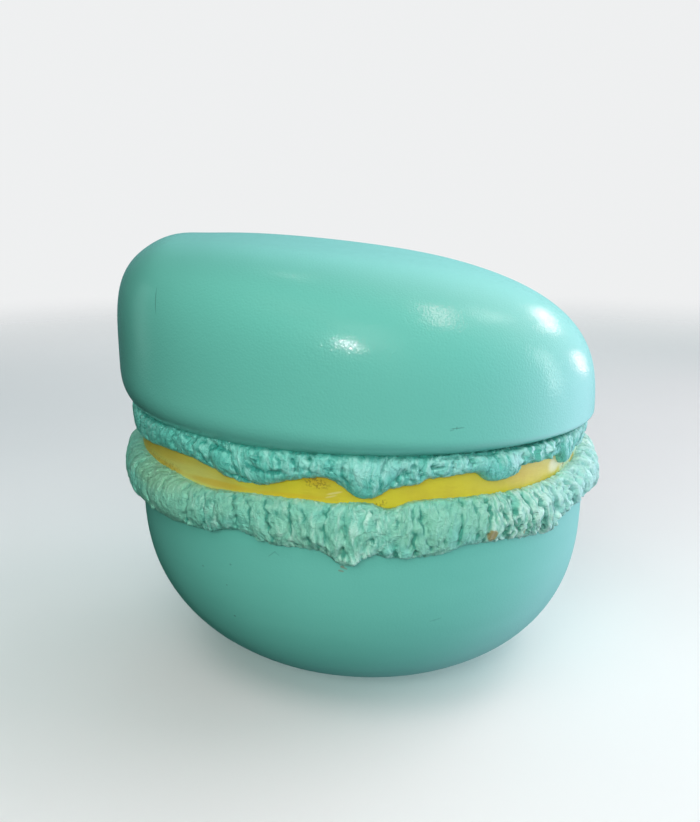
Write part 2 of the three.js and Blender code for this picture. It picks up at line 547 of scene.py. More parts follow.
@dataclass(frozen=True)
class Enamel:
    """Turquoise enamel over a hard coat: semi-gloss, with an orange-peel grain."""

    name: str
    colour: Colour = (0.16, 0.525, 0.437)
    deep: Colour = (0.118, 0.445, 0.365)
    dirt: Colour = (0.05, 0.16, 0.13)
    gloss: float = 0.135
    peel: float = 0.19 * MM  # height of the orange peel
    peel_pitch: float = 1.6 * MM
    streaks: float = 0.1
    marks: tuple[Mark, ...] = ()
    stains: tuple[Mark, ...] = ()
    stain: Colour = (0.26, 0.14, 0.08)
    shine: float = 0.5
    patch_waves: float = 5.5  # waves to a metre, here and below
    brush_waves: float = 9.0
    rub_waves: float = 14.0
    swell_waves: float = 38.0
    ragged_waves: float = 420.0

    def material(self) -> bpy.types.Material:
        """Builds the material.

        Returns:
            The material.
        """
        s = Shader(self.name)
        patchy = s.noise(s.place, self.patch_waves, 3.0)
        brushed = s.noise(s.scaled(s.place, (1, 1, 7)), self.brush_waves, 4.0)
        tone = (patchy - 0.5) * 0.5 + (brushed - 0.5) * self.streaks + 0.35
        colour = s.mix(tone, self.colour, self.deep)
        ragged = s.noise(s.place, self.ragged_waves, 2.0)
        colour = s.marked(colour, self.marks, ragged, self.dirt)
        colour = s.marked(colour, self.stains, ragged, self.stain)
        grain = s.noise(s.place, 1 / self.peel_pitch, 1.5, Roughness=0.55)
        lumps = s.lumps(s.place, 0.8 / self.peel_pitch, 0.6)
        swells = s.noise(s.place, self.swell_waves, 1.0)
        relief = grain * 0.7 + lumps * 0.6 + swells * 0.8
        rubbed = s.noise(s.place, self.rub_waves, 4.0)
        roughness = self.gloss + (rubbed - 0.5) * 0.12
        return s.finish(colour, roughness, relief, self.peel, Specular_IOR_Level=self.shine)


@dataclass(frozen=True)
class FoamPaint:
    """Thick paint on foam: painted shade in its creases, and ridges paler as rubbed paint and
    painted highlight.
    """

    name: str
    colour: Colour
    # the painted shade of the creases, and on the upper roll the painted shadow under the shell
    crease: Colour
    # the ridges' paler tint: rubbed paint and painted highlight
    ridge: Colour
    blotch: Colour
    ridge_share: float = 0.75
    chips: tuple[Mark, ...] = ()
    bare_foam: Colour = (0.36, 0.29, 0.12)
    chalked: tuple[Mark, ...] = ()  # painted highlights: pale patches where the light falls brightest
    # the colour of the painted highlights
    chalk: Colour = (0.52, 0.92, 0.9)
    smear: Colour = (0.45, 0.46, 0.05)
    smear_from: float = 0.93  # how far round the roll the filling's paint has run over it
    smeared: tuple[Mark, ...] = ()  # where the filling's paint has been sprayed over it
    shadow_from: float = 2.0  # how far round the roll the painted shadow under the shell above it starts
    gloss: float = 0.34
    grain: float = 0.85 * MM
    blotch_waves: float = 22.0  # waves to a metre, here and below
    streak_waves: float = 420.0
    run_waves: float = 60.0
    smear_waves: float = 13.0
    ragged_waves: float = 300.0
    wrinkle_waves: float = 230.0
    thread_waves: float = 480.0
    grain_waves: float = 700.0

    def material(self) -> bpy.types.Material:
        """Builds the material.

        Returns:
            The material.
        """
        s = Shader(self.name)
        cut, crest, around = s.kept(Kept.CUT), s.kept(Kept.CREST), s.kept(Kept.ROUND)
        lay = s.kept(Kept.LAY, "Vector")
        drawn = s.scaled(lay, (1, 1, 0.2))
        blotchy = s.noise(s.place, self.blotch_waves, 4.0, Roughness=0.6)
        streaky = s.noise(drawn, self.streak_waves, 3.0, Roughness=0.6)
        colour = s.mix(s.ramp(blotchy, 0.4, 0.68), self.colour, self.blotch)
        # ridges paler, as rubbed paint and as painted highlight
        rubbed = s.ramp(crest + (streaky - 0.5) * 0.8, 0.12, 0.85, self.ridge_share)
        colour = s.mix(rubbed, colour, self.ridge)
        # painted shade: the crease colour where the foam is sharply cut
        colour = s.mix(s.ramp(cut + (streaky - 0.5) * 0.4, 0.2, 0.9, 0.85), colour, self.crease)
        run_over = around + (s.noise(s.place, self.run_waves, 3.0) - 0.5) * 0.16
        run = s.ramp(run_over, self.smear_from, self.smear_from + 0.07, 0.7)
        here = s.ramp(s.noise(s.place, self.smear_waves), 0.47, 0.6)
        colour = s.mix(run * here, colour, self.smear)
        colour = s.marked(colour, self.smeared, streaky, self.smear)
        # painted highlights in pale cyan
        colour = s.marked(colour, self.chalked, streaky, self.chalk)
        # painted shadow under the shell's edge, in the crease colour
        shadow_under_shell = s.ramp(run_over, self.shadow_from, self.shadow_from + 0.14, 0.8)
        colour = s.mix(shadow_under_shell, colour, self.crease)
        ragged = s.noise(s.place, self.ragged_waves, 2.0)
        colour = s.marked(colour, self.chips, ragged, self.bare_foam)
        wrinkled = abs(s.noise(lay, self.wrinkle_waves, 3.0, Distortion=0.8) - 0.5) * 2
        thread = s.noise(drawn, self.thread_waves, 2.5, Roughness=0.6)
        grain = s.noise(s.place, self.grain_waves, 2.0)
        relief = wrinkled * 1.6 + thread * 1.5 + grain * 0.25
        roughness = self.gloss + (streaky - 0.5) * 0.3
        return s.finish(colour, roughness, relief, self.grain, Specular_IOR_Level=0.5)


@dataclass(frozen=True)
class FillingPaint:
    """Mustard-yellow paint, a little smudged: cream rubbed through at the right, painted shade at
    the left.
    """

    name: str
    colour: Colour = (0.68, 0.55, 0.032)
    deep: Colour = (0.58, 0.44, 0.032)
    cream: Colour = (0.84, 0.78, 0.5)
    smudges: tuple[Mark, ...] = ()
    smudge: Colour = (0.3, 0.2, 0.02)
    rubbed: tuple[Mark, ...] = ()
    green: Colour = (0.52, 0.8, 0.58)
    greened: tuple[Mark, ...] = ()  # where the foam's paint has run on it
    # painted shade: olive over the filling's left end
    olive: Colour = (0.6, 0.57, 0.17)
    dulled: tuple[Mark, ...] = ()
    # orange along the edges, partly painted shade under the upper roll
    orange: Colour = (0.62, 0.36, 0.015)
    warmed: tuple[Mark, ...] = ()
    patch_waves: float = 30.0  # waves to a metre, here and below
    ragged_waves: float = 90.0
    speck_waves: float = 420.0
    dot_waves: float = 520.0
    grain_waves: float = 220.0
    drag_waves: float = 60.0

    def material(self) -> bpy.types.Material:
        """Builds the material.

        Returns:
            The material.
        """
        s = Shader(self.name)
        patchy = s.noise(s.place, self.patch_waves, 4.0)
        colour = s.mix(s.ramp(patchy, 0.38, 0.75), self.colour, self.deep)
        specks = s.noise(s.place, self.speck_waves, 3.0, Roughness=0.7)
        ragged = s.noise(s.place, self.ragged_waves, 3.0) * 0.6 + specks * 0.4
        for marks, tint in (
            (self.dulled, self.olive),
            (self.warmed, self.orange),
            (self.rubbed, self.cream),
            (self.greened, self.green),
        ):
            colour = s.marked(colour, marks, ragged, tint)
        dotted = s.ramp(s.noise(s.place, self.dot_waves, 1.5), 0.46, 0.62)
        for mark in self.smudges:
            colour = s.mix(s.spot(mark, ragged) * dotted, colour, self.smudge)
        grain = s.noise(s.place, self.grain_waves, 3.0)
        drag = s.noise(s.scaled(s.place, (1, 1, 5)), self.drag_waves, 2.0)
        return s.finish(colour, 0.45 + (patchy - 0.5) * 0.2, grain * 0.5 + drag, 0.4 * MM)


Finish = Union[Enamel, FoamPaint, FillingPaint]


# --------------------------------------------------------------------------- pieces, shells


@dataclass
class Piece:
    """A piece of the prop, which a tree grows in place of a CAD node."""

    name: str
    node: str
    slot: str

    def start(self) -> bpy.types.Mesh:
        """The mesh that the tree works on, empty where the tree makes all of it."""
        return bpy.data.meshes.new(self.name)

    def recipe(self) -> Recipe:
        """The tree that grows the piece."""
        raise NotImplementedError

    def build(self, material: bpy.types.Material) -> bpy.types.Object:
        """Grows the piece, rides it on the body in place of the CAD node, and logs it.

        Args:
            material: its finish.

        Returns:
            The piece.
        """
        piece = self.recipe().run(place_object(self.name, self.start()), material)
        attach(piece, BODY)
        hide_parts(self.node)
        log.info("%s: %d faces, for %s", self.name, len(piece.data.polygons), self.node)
        return piece


@dataclass(frozen=True)
class Outline:
    """The rule of a shell's outline.

    From its widest line a crown rises and a tuck drops, each a quarter of a superellipse whose
    size and power change with how far across the shell they stand. Two planes cut it flat.
    """

    radius: float
    shift: float
    waist: float
    rise: float
    crown_power: float
    drop: float
    tuck_power: float
    floor: float
    ceiling: float
    waist_tilt: float = 0.0
    rise_tilt: float = 0.0
    drop_tilt: float = 0.0
    floor_tilt: float = 0.0
    crown_lean: float = 0.0
    crown_oval: float = 0.0
    shoulder: float = 0.0  # how far the crown swells over one side
    shoulder_at: float = -0.78  # where across, from -1 at the left to 1
    shoulder_width: float = 0.11
    tuck_lean: float = 0.0


@dataclass
class Shell(Piece):
    """One shell or other turned body, grown from its outline."""

    outline: Outline
    turns: int = 512
    rows: int = 150
    waviness: float = 0.9 * MM  # how far hand shaping left the wall uneven
    wave_length: float = 95 * MM
    even_to: float = 4 * MM  # height over the floor up to which the wall is true
    uneven_from: float = 40 * MM
    seed: float = 3.0

    def recipe(self) -> Recipe:
        """Writes the tree that turns a flat grid into the closed surface of the outline.

        Returns:
            The tree.
        """
        settings = {
            "Turns": self.turns + 1,
            "Rows": self.rows + 1,
            "Waviness": self.waviness,
            "Wave Length": self.wave_length,
            "Seed": self.seed,
        }
        g = Recipe(self.name + "_outline", {**labels(self.outline), **settings})
        counts = {"Vertices X": g.given("Turns"), "Vertices Y": g.given("Rows")}
        sheet = g.node("GeometryNodeMeshGrid", inputs={"Size X": 1.0, "Size Y": 2.0, **counts})
        x, y, _ = g.split(g.out(g.node("GeometryNodeInputPosition")))
        turn = x * FULL_TURN
        side = g.math("SINE", turn)
        ahead = g.math("COSINE", turn)
        upper = g.math("GREATER_THAN", y, 0.0)
        angle = abs(y) * (math.pi / 2)
        crown_power = (
            g.given("Crown Power")
            + side * g.given("Crown Lean")
            + side * side * g.given("Crown Oval")
        )
        tuck_power = g.given("Tuck Power") + side * g.given("Tuck Lean")
        power = self.either(upper, crown_power, tuck_power)
        level = g.math("COSINE", angle)
        steep = g.math("SINE", angle)
        size = (level**power + steep**power) ** (1 / power)
        out = g.math("MAXIMUM", level / size, 0.0)
        climb = steep / size
        tilt = out * side
        rise = g.given("Rise") + tilt * g.given("Rise Tilt")
        drop = g.given("Drop") + tilt * g.given("Drop Tilt")
        height = (
            g.given("Waist")
            + tilt * g.given("Waist Tilt")
            + climb * self.either(upper, rise, -drop)
        )
        beside = (tilt - g.given("Shoulder At")) / g.given("Shoulder Width")
        swell = g.math("EXPONENT", -(beside * beside)) * climb * climb * upper
        height = height + swell * g.given("Shoulder")
        floor = g.given("Floor") + tilt * g.given("Floor Tilt")
        height = g.math("MINIMUM", g.math("MAXIMUM", height, floor), g.given("Ceiling"))
        radius = g.given("Radius") * out
        wave = self.wave(g, side, ahead, height)
        base = self.outline.floor
        free = g.ramp(height, base + self.even_to, base + self.uneven_from)
        radius = radius + (wave - 1) * g.given("Waviness") * free * g.ramp(out, 0.0, 0.6)
        place = g.vector(g.given("Shift") + radius * side, -(radius * ahead), height)
        inputs = {"Geometry": g.out(sheet), "Position": place}
        shaped = g.out(g.node("GeometryNodeSetPosition", inputs=inputs))
        inputs = {"Geometry": shaped, "Distance": SEAM}
        g.finish(g.out(g.node("GeometryNodeMergeByDistance", inputs=inputs)))
        return g

    @staticmethod
    def either(choice: Field, first: Field, second: Field) -> Field:
        """first where choice is 1, second where it is 0."""
        return second + choice * (first - second)

    def wave(self, g: Recipe, side: Field, ahead: Field, height: Field) -> Field:
        """Slow unevenness of the wall, the same at both ends of a turn.

        Args:
            g: the tree.
            side: the sine of the bearing.
            ahead: its cosine.
            height: the height.

        Returns:
            Noise from 0 to 1.
        """
        reach = self.outline.radius
        spot = g.vector(side * reach, ahead * reach, height + g.given("Seed"))
        return g.noise(spot, 1 / self.wave_length, 1.0)


# --------------------------------------------------------------------------- feet

TINY = 1e-9  # keeps a division from failing
CROSSING = 0.3  # a fold that runs over more than this share of the roll crosses it
WAVES = 18  # how many waves a random field is made of
WAVE_SUM = 4.5  # what their sum is divided by
STRAY_WAVES = (26.0, 7.0)  # longest and shortest, in millimetres
UNEVEN_WAVES = (34.0, 8.0)
UNEVEN, LEAST, MOST = 0.7, 0.15, 1.9  # how unevenly deep a fold is, and the bounds of that
FOLD_REACH = 14.0  # degrees beside a fold that it can touch
SHARP_SHARE = 0.6  # of a fold's depth, the part that is its crease, and not the dip beside it
DIP_WIDTH = 4.0  # widths of the crease
CUT_WIDTH = 0.9
LAP_WIDTH, LAP_DEPTH = 0.6, 0.8
END_DEPTH, END_LENGTH = 0.25, 6.0  # how deep a fold's ends are, and over which part of its length
SHARPEST = 3.2  # millimetres of depth from which a fold is cut quite sharply
DEEPEST, DENT_UNEVEN = 5.0, 0.25  # the same for a pit, and how uneven its outline is
DRAW_WIDTH, DRAW_LEAST = 4.5, 0.02  # degrees over which a fold draws the foam along with it
RING_WIDTH, DISH_POWER, CALM_POWER = 0.35, 2.5, 4.0
PUFF_TOP, PUFF_MEAN, PUFF_GAIN = 0.9, 0.35, 2.6  # a puff's flat top, its mean and its rise
CREST_MEAN, SLIT_FADE = 0.35, 0.08
CLEAR = 0.2 * MM  # how far the foam stays inside the frame's box


@dataclass(frozen=True)
class Lobe:
    """A stretch of an edge that hangs below the rest, or is pulled up where drop is under 0.

    A higher power gives it a flatter middle and steeper ends.
    """

    at: float
    spread: float
    drop: float
    power: float = 2.5


@dataclass(frozen=True)
class Edge:
    """The height of a foot's edge round the ring, in millimetres: a mean, waves and lobes."""

    mean: float
    waves: tuple[tuple[float, float], ...] = ()
    lobes: tuple[Lobe, ...] = ()

    def height(self, bearing: np.ndarray) -> np.ndarray:
        """The edge's height.

        Args:
            bearing: bearings in degrees.

        Returns:
            The height in metres at each.
        """
        turn = np.radians(bearing)
        height = np.full_like(turn, self.mean)
        for order, (even, odd) in enumerate(self.waves, start=1):
            height += even * np.cos(order * turn) + odd * np.sin(order * turn)
        for lobe in self.lobes:
            away = np.abs(apart(bearing, lobe.at)) / lobe.spread
            height -= lobe.drop * np.exp(-(away**lobe.power))
        return height * MM


@dataclass(frozen=True)
class Bulge:
    """How far a roll stands out past its edges, and how square its section is."""

    mean: float
    ovality: float
    power: float

    def depth(self, bearing: np.ndarray) -> np.ndarray:
        """The bulge at each bearing."""
        return self.mean + self.ovality * np.cos(np.radians(2 * bearing))


@dataclass(frozen=True)
class Fold:
    """A crease in the foam, or a ridge where its depth is under 0.

    Its path starts, bends and ends at points of a bearing in degrees and a share of the way
    round the roll, from 0 at the lower edge to 1 at the upper.
    """

    path: tuple[tuple[float, float], tuple[float, float], tuple[float, float]]
    depth: float  # millimetres
    width: float = 1.5  # millimetres

    def points(self, steps: int = 9) -> np.ndarray:
        """Points along the curved path.

        Args:
            steps: how many.

        Returns:
            A row for each point, with its bearing in degrees and its share.
        """
        start, bend, end = (np.array(point) for point in self.path)
        pull = 2 * bend - (start + end) / 2
        t = np.linspace(0, 1, steps)[:, None]
        return (1 - t) ** 2 * start + 2 * t * (1 - t) * pull + t**2 * end

    def crosses(self) -> bool:
        """Whether it runs across the roll rather than along it."""
        return self.depth > 0 and abs(self.path[2][1] - self.path[0][1]) > CROSSING


class Form(Enum):
    """The form of a dent."""

    DISH = "dish"
    RING = "ring"


@dataclass(frozen=True)
class Dent:
    """A pit in the foam, or a bump where its depth is under 0.

    Its middle is at a bearing in degrees and a share of the way round the roll.
    """

    bearing: float
    share: float
    along: float  # half sizes in millimetres, along the roll and across it
    across: float
    depth: float  # millimetres
    form: Form = Form.DISH

    def shape(self, size: np.ndarray) -> np.ndarray:
        """How much of its depth the dent has.

        Args:
            size: how far points stand from its middle, 1 at its edge.

        Returns:
            The share of its depth at each, from 0 to 1.
        """
        if self.form is Form.RING:
            return np.exp(-(((size - 1) / RING_WIDTH) ** 2))
        return np.exp(-(size**DISH_POWER))


@dataclass(frozen=True)
class Foam:
    """The relief of gunned foam: how it ridges, crumples, swells and splits as it sets."""

    thread_pitch: float = 3.2 * MM  # fine lines drawn out across the roll
    thread_depth: float = 0.9 * MM
    thread_stretch: float = 7.0  # how much longer they are round the roll's section
    bark_pitch: float = 7.5 * MM  # sharp ridges where the foam tore as it was drawn
    bark_depth: float = 3.4 * MM
    bark_stretch: float = 4.6
    bark_width: float = 0.2  # in a noise from 0 to 1, as the other widths here are
    slit_depth: float = 2.4 * MM
    slit_stretch: float = 3.4
    slit_width: float = 0.05
    stray: float = 0.9  # how far the threads and ridges wander, in crumples
    stray_stretch: float = 1.3
    wrinkle_pitch: float = 7 * MM  # puffs with sharp creases between them
    wrinkle_depth: float = 1.8 * MM
    wrinkle_stretch: float = 4.0
    crease_width: float = 0.22
    crumple_pitch: float = 15 * MM
    crumple_depth: float = 2.6 * MM
    crumple_stretch: float = 2.6
    lump_pitch: float = 42 * MM
    lump_depth: float = 2.2 * MM
    lump_stretch: float = 1.2
    proud: float = 0.4 * MM  # how far the surface stands past the smooth roll on the whole
    groove: float = 0.0  # how deep its upper side is drawn in
    groove_from: float = 0.58  # shares of the way round the roll
    groove_to: float = 0.74
    upper_calm: float = 0.55  # what is left of the relief at the roll's upper edge
    lower_calm: float = 1.0
    calm_from: float = 0.5
    calm_to: float = 0.98
    seed: float = 0.0


@dataclass(frozen=True)
class DrawnFolds:
    """What the folds on the rest of the ring are drawn from, as ranges or as spreads."""

    start: tuple[float, float] = (0.02, 0.25)  # shares of the way round the roll
    end: tuple[float, float] = (0.75, 1.0)
    lean: float = 1.4  # degrees
    bow: float = 0.8
    depth: tuple[float, float] = (1.4, 4.2)  # millimetres
    width: tuple[float, float] = (1.1, 1.8)
    gap: tuple[float, float] = (4.5, 8.5)  # degrees from one to the next


def folds(*rows: tuple[float, ...]) -> tuple[Fold, ...]:
    """Folds from rows of their path's start, bend and end, their depth and their width."""
    return tuple(Fold((row[0:2], row[2:4], row[4:6]), *row[6:]) for row in rows)


@dataclass
class Foot(Piece):
    """A rope of foam round a shell's edge: a layer right through, with the roll as its rim."""

    lower: Edge
    upper: Edge
    bulge: Bulge
    lower_radius: float
    lower_shift: float
    upper_radius: float
    layer: tuple[float, float]  # heights of the layer's two faces
    foam: Foam
    folds: tuple[Fold, ...] = ()
    dents: tuple[Dent, ...] = ()
    calm: tuple[Dent, ...] = ()  # smooth patches, with a depth of 1 for quite smooth
    torn: tuple[tuple[float, float], ...] = ((-180, 0.6), (180, 0.6))  # bearing, how torn
    front: tuple[float, float] = (-74, 74)  # the bearings that the listed folds fill
    drawn_folds: DrawnFolds = DrawnFolds()
    seed: int = 1
    turns: int = 1500
    rows: int = 60
    layer_radius: float = 204 * MM
    girth: float = 70 * MM  # length round the outside of the roll
    stray: float = 1.0  # how far a fold wanders off its path, in millimetres
    lap: float = 0.8  # how far the foam laps over itself at a fold

    def bearings(self) -> np.ndarray:
        """The bearing of each column, in degrees."""
        return np.arange(self.turns) * (360 / self.turns) - 180

    def shares(self) -> np.ndarray:
        """The share of the way round the roll of each row, as a column."""
        return np.linspace(0, 1, self.rows + 1)[:, None]

    def size(self, dent: Dent) -> np.ndarray:
        """How far each point stands from the middle of a dent, 1 at its edge."""
        away = apart(self.bearings(), dent.bearing) * self.degree()
        return np.hypot(away / dent.along, self.up(self.shares() - dent.share) / dent.across)

    def degree(self) -> float:
        """The length of one degree of the ring, in millimetres."""
        return np.radians(1) * self.upper_radius / MM

    def up(self, share: np.ndarray) -> np.ndarray:
        """The length round the roll of a share of it, in millimetres."""
        return share * self.girth / MM

    def section(self) -> tuple[np.ndarray, np.ndarray]:
        """The smooth roll.

        Returns:
            Its radius and its height, each with a row for each ring of points.
        """
        bearing = self.bearings()
        turn = np.radians(bearing)
        foot_radius = self.lower_radius + self.lower_shift * np.sin(turn)
        start = np.stack([foot_radius, self.lower.height(bearing)])
        end = np.stack([np.full_like(turn, self.upper_radius), self.upper.height(bearing)])
        middle, half = (start + end) / 2, (end - start) / 2
        outward = np.stack([half[1], -half[0]]) / np.hypot(*half)
        angle = math.pi * self.shares()
        swell = np.maximum(np.sin(angle), 0) ** self.bulge.power * self.bulge.depth(bearing)
        radius = middle[0] - half[0] * np.cos(angle) + outward[0] * swell
        height = middle[1] - half[1] * np.cos(angle) + outward[1] * swell
        return radius, height

    def every_fold(self) -> list[Fold]:
        """Lists the given folds, and drawn ones of the same kind round the rest of the ring.

        Returns:
            All the folds.
        """
        draw, rest = np.random.default_rng(self.seed), self.drawn_folds
        every = list(self.folds)
        at = self.front[1]
        while at < self.front[0] + 360:
            low, high = draw.uniform(*rest.start), draw.uniform(*rest.end)
            lean, bow = draw.normal(0, rest.lean), draw.normal(0, rest.bow)
            path = ((at + lean, low), (at + bow, (low + high) / 2), (at - lean, high))
            every.append(Fold(path, draw.uniform(*rest.depth), draw.uniform(*rest.width)))
            at += draw.uniform(*rest.gap)
        return every

    def wander(self, longest: float, shortest: float, seed: int) -> np.ndarray:
        """A smooth random field over the roll, about -1 to 1, that closes on itself.

        Args:
            longest: the longest wave in millimetres.
            shortest: the shortest.
            seed: which field.

        Returns:
            The field, with a row for each ring of points.
        """
        draw = np.random.default_rng(self.seed * 100 + seed)
        turn, rise = np.radians(self.bearings())[None, :], self.up(self.shares())
        total = np.zeros((self.rows + 1, self.turns))
        for wave in np.geomspace(longest, shortest, WAVES):
            lean, phase = draw.uniform(0, math.pi), draw.uniform(0, FULL_TURN)
            order = round(FULL_TURN * self.upper_radius / MM * math.cos(lean) / wave)
            total += np.sin(order * turn + FULL_TURN * math.sin(lean) * rise / wave + phase)
        return total / WAVE_SUM

    def carve(self) -> tuple[np.ndarray, np.ndarray, np.ndarray]:
        """Cuts the folds and dents.

        Returns:
            How deep each point is sunk, in metres; how sharply it is cut, from 0 to 1; and how
            far the foam there is drawn sideways, in radians.
        """
        share, degree = self.shares(), self.degree()
        sunk = np.zeros((self.rows + 1, self.turns))
        cut, drawn = np.zeros_like(sunk), np.zeros_like(sunk)
        weight = np.full_like(sunk, DRAW_LEAST)
        sideways, upwards = (self.wander(*STRAY_WAVES, seed) * self.stray for seed in (1, 2))
        uneven = np.clip(1 + UNEVEN * self.wander(*UNEVEN_WAVES, 3), LEAST, MOST)
        for fold in self.every_fold():
            points = fold.points()
            middle = points[:, 0].mean()
            away = apart(self.bearings()[None, :], middle)
            near = np.flatnonzero(np.abs(away[0]) < FOLD_REACH)
            away = away[:, near]
            path = np.stack([(points[:, 0] - middle) * degree, self.up(points[:, 1])], axis=1)
            x, y = away * degree + sideways[:, near], self.up(share) + upwards[:, near]
            gap, along, side = self.gap(x, y, path)
            ends = np.clip(np.minimum(along, 1 - along) * END_LENGTH, 0, 1)
            fade = (END_DEPTH + (1 - END_DEPTH) * ends) * uneven[:, near]
            if fold.depth > 0:
                lap = 1 + LAP_DEPTH * np.tanh(side / (LAP_WIDTH * fold.width)) * self.lap
                sharp = np.exp(-gap / fold.width)
                soft = np.exp(-((gap / (DIP_WIDTH * fold.width)) ** 2)) * lap
                shape = SHARP_SHARE * sharp + (1 - SHARP_SHARE) * soft
                edge = np.exp(-((gap / (CUT_WIDTH * fold.width)) ** 2)) * fade
                sharpness = edge * min(fold.depth / SHARPEST, 1)
                cut[:, near] = np.maximum(cut[:, near], sharpness)
            else:
                shape = np.exp(-((gap / fold.width) ** 2))
            sunk[:, near] += fold.depth * fade * shape
            if fold.crosses():
                line = np.interp(share[:, 0], points[:, 1], points[:, 0]) - middle
                pull = np.exp(-((away / DRAW_WIDTH) ** 2))
                drawn[:, near] += pull * line[:, None]
                weight[:, near] += pull
        for dent in self.dents:
            shape = dent.shape(self.size(dent) * (1 + DENT_UNEVEN * (uneven - 1)))
            sunk += dent.depth * shape
            cut = np.maximum(cut, shape * np.clip(dent.depth / DEEPEST, 0, 1))
        return sunk * MM, cut, np.radians(drawn / weight)

    def roughened(self) -> np.ndarray:
        """How much of its relief the foam has, less on the calm patches.

        Returns:
            The share of it at each point.
        """
        left = np.ones((self.rows + 1, self.turns))
        for patch in self.calm:
            left *= 1 - patch.depth * np.exp(-(self.size(patch) ** CALM_POWER))
        return left

    @staticmethod
    def gap(
        x: np.ndarray, y: np.ndarray, ends: np.ndarray
    ) -> tuple[np.ndarray, np.ndarray, np.ndarray]:
        """How far points stand from a path of straight pieces.

        Args:
            x: the points' places along the roll.
            y: their places across it.
            ends: the ends of the path's pieces.

        Returns:
            The distance, the share of the path at the nearest place on it, and how far the
            point stands to its left.
        """
        best = np.full(x.shape, np.inf)
        along, side = np.zeros_like(best), np.zeros_like(best)
        pieces = len(ends) - 1
        for index, (start, end) in enumerate(zip(ends[:-1], ends[1:])):
            way = end - start
            t = ((x - start[0]) * way[0] + (y - start[1]) * way[1]) / (way @ way + TINY)
            t = np.clip(t, 0, 1)
            gap = np.hypot(x - start[0] - t * way[0], y - start[1] - t * way[1])
            left = ((y - start[1]) * way[0] - (x - start[0]) * way[1]) / (np.hypot(*way) + TINY)
            along = np.where(gap < best, (index + t) / pieces, along)
            side = np.where(gap < best, left, side)
            best = np.minimum(gap, best)
        return best, along, side

    def start(self) -> bpy.types.Mesh:
        """Makes the smooth roll and its layer, which carry what the relief needs.

        Returns:
            The closed mesh.
        """
        radius, height = self.section()
        carved, cut, drawn = self.carve()
        turn = np.radians(self.bearings())
        torn = np.interp(self.bearings(), *zip(*self.torn))
        blank = np.zeros((1, self.turns))
        low, high = self.layer
        radius = np.vstack([blank + self.layer_radius, radius, blank + self.layer_radius])
        height = np.vstack([blank + low, height, blank + high])
        ring = np.stack([radius * np.sin(turn), -radius * np.cos(turn), height], axis=-1)
        index = np.arange(radius.size).reshape(radius.shape)
        after = np.roll(index, -1, axis=1)
        quads = np.stack([index[:-1], after[:-1], after[1:], index[1:]], axis=-1)
        pole = radius.size
        fans = [(pole, b, a) for a, b in zip(index[0].tolist(), after[0].tolist())]
        fans += [(pole + 1, a, b) for a, b in zip(index[-1].tolist(), after[-1].tolist())]
        points = np.vstack([ring.reshape(-1, 3), [(0, 0, low), (0, 0, high)]])
        mesh = bpy.data.meshes.new(self.name)
        mesh.from_pydata(points.tolist(), [], quads.reshape(-1, 4).tolist() + fans)
        grid = np.ones((self.rows + 1, self.turns))
        kept = {
            Kept.BEARING: grid * turn,
            Kept.ROUND: grid * self.shares(),
            Kept.EXPOSED: grid,
            Kept.CARVED: carved,
            Kept.CUT: cut,
            Kept.DRAWN: drawn,
            Kept.TORN: grid * torn,
            Kept.ROUGH: self.roughened(),
        }
        for what, values in kept.items():
            top = blank + (1 if what is Kept.ROUND else 0)
            column = np.vstack([blank, values, top]).ravel()
            layer = mesh.attributes.new(what.value, "FLOAT", "POINT")
            layer.data.foreach_set("value", np.append(column, [0.0, 0.0]))
        return mesh

    def recipe(self) -> Recipe:
        """Writes the tree that raises the foam's relief on the smooth roll.

        Returns:
            The tree.
        """
        sizes = {"Ring Radius": self.upper_radius, "Girth": self.girth}
        g = Recipe(self.name + "_relief", {**labels(self.foam), **sizes})
        around, torn, rough = g.kept(Kept.ROUND), g.kept(Kept.TORN), g.kept(Kept.ROUGH)
        ring, girth = g.given("Ring Radius"), g.given("Girth")

        def spot(turn: Field, kind: str, stretched: str = "") -> Field:
            """The place on the roll, measured in pitches.

            Args:
                turn: the bearing in radians.
                kind: the relief whose pitch and stretch are taken.
                stretched: another relief whose stretch is taken instead.

            Returns:
                The place as a vector.
            """
            pitch, stretch = g.given(kind + " Pitch"), g.given((stretched or kind) + " Stretch")
            return g.vector(
                g.math("SINE", turn) * ring / pitch,
                g.math("COSINE", turn) * ring / pitch,
                around * girth / (pitch * stretch) + g.given("Seed"),
            )

        def puffs(turn: Field, kind: str, detail: float, distortion: float) -> Field:
            """The height of one kind of puffs, which is 0 in the creases between them."""
            waves = g.noise(spot(turn, kind), 1.0, detail, Distortion=distortion)
            return abs(waves - 0.5) * PUFF_GAIN

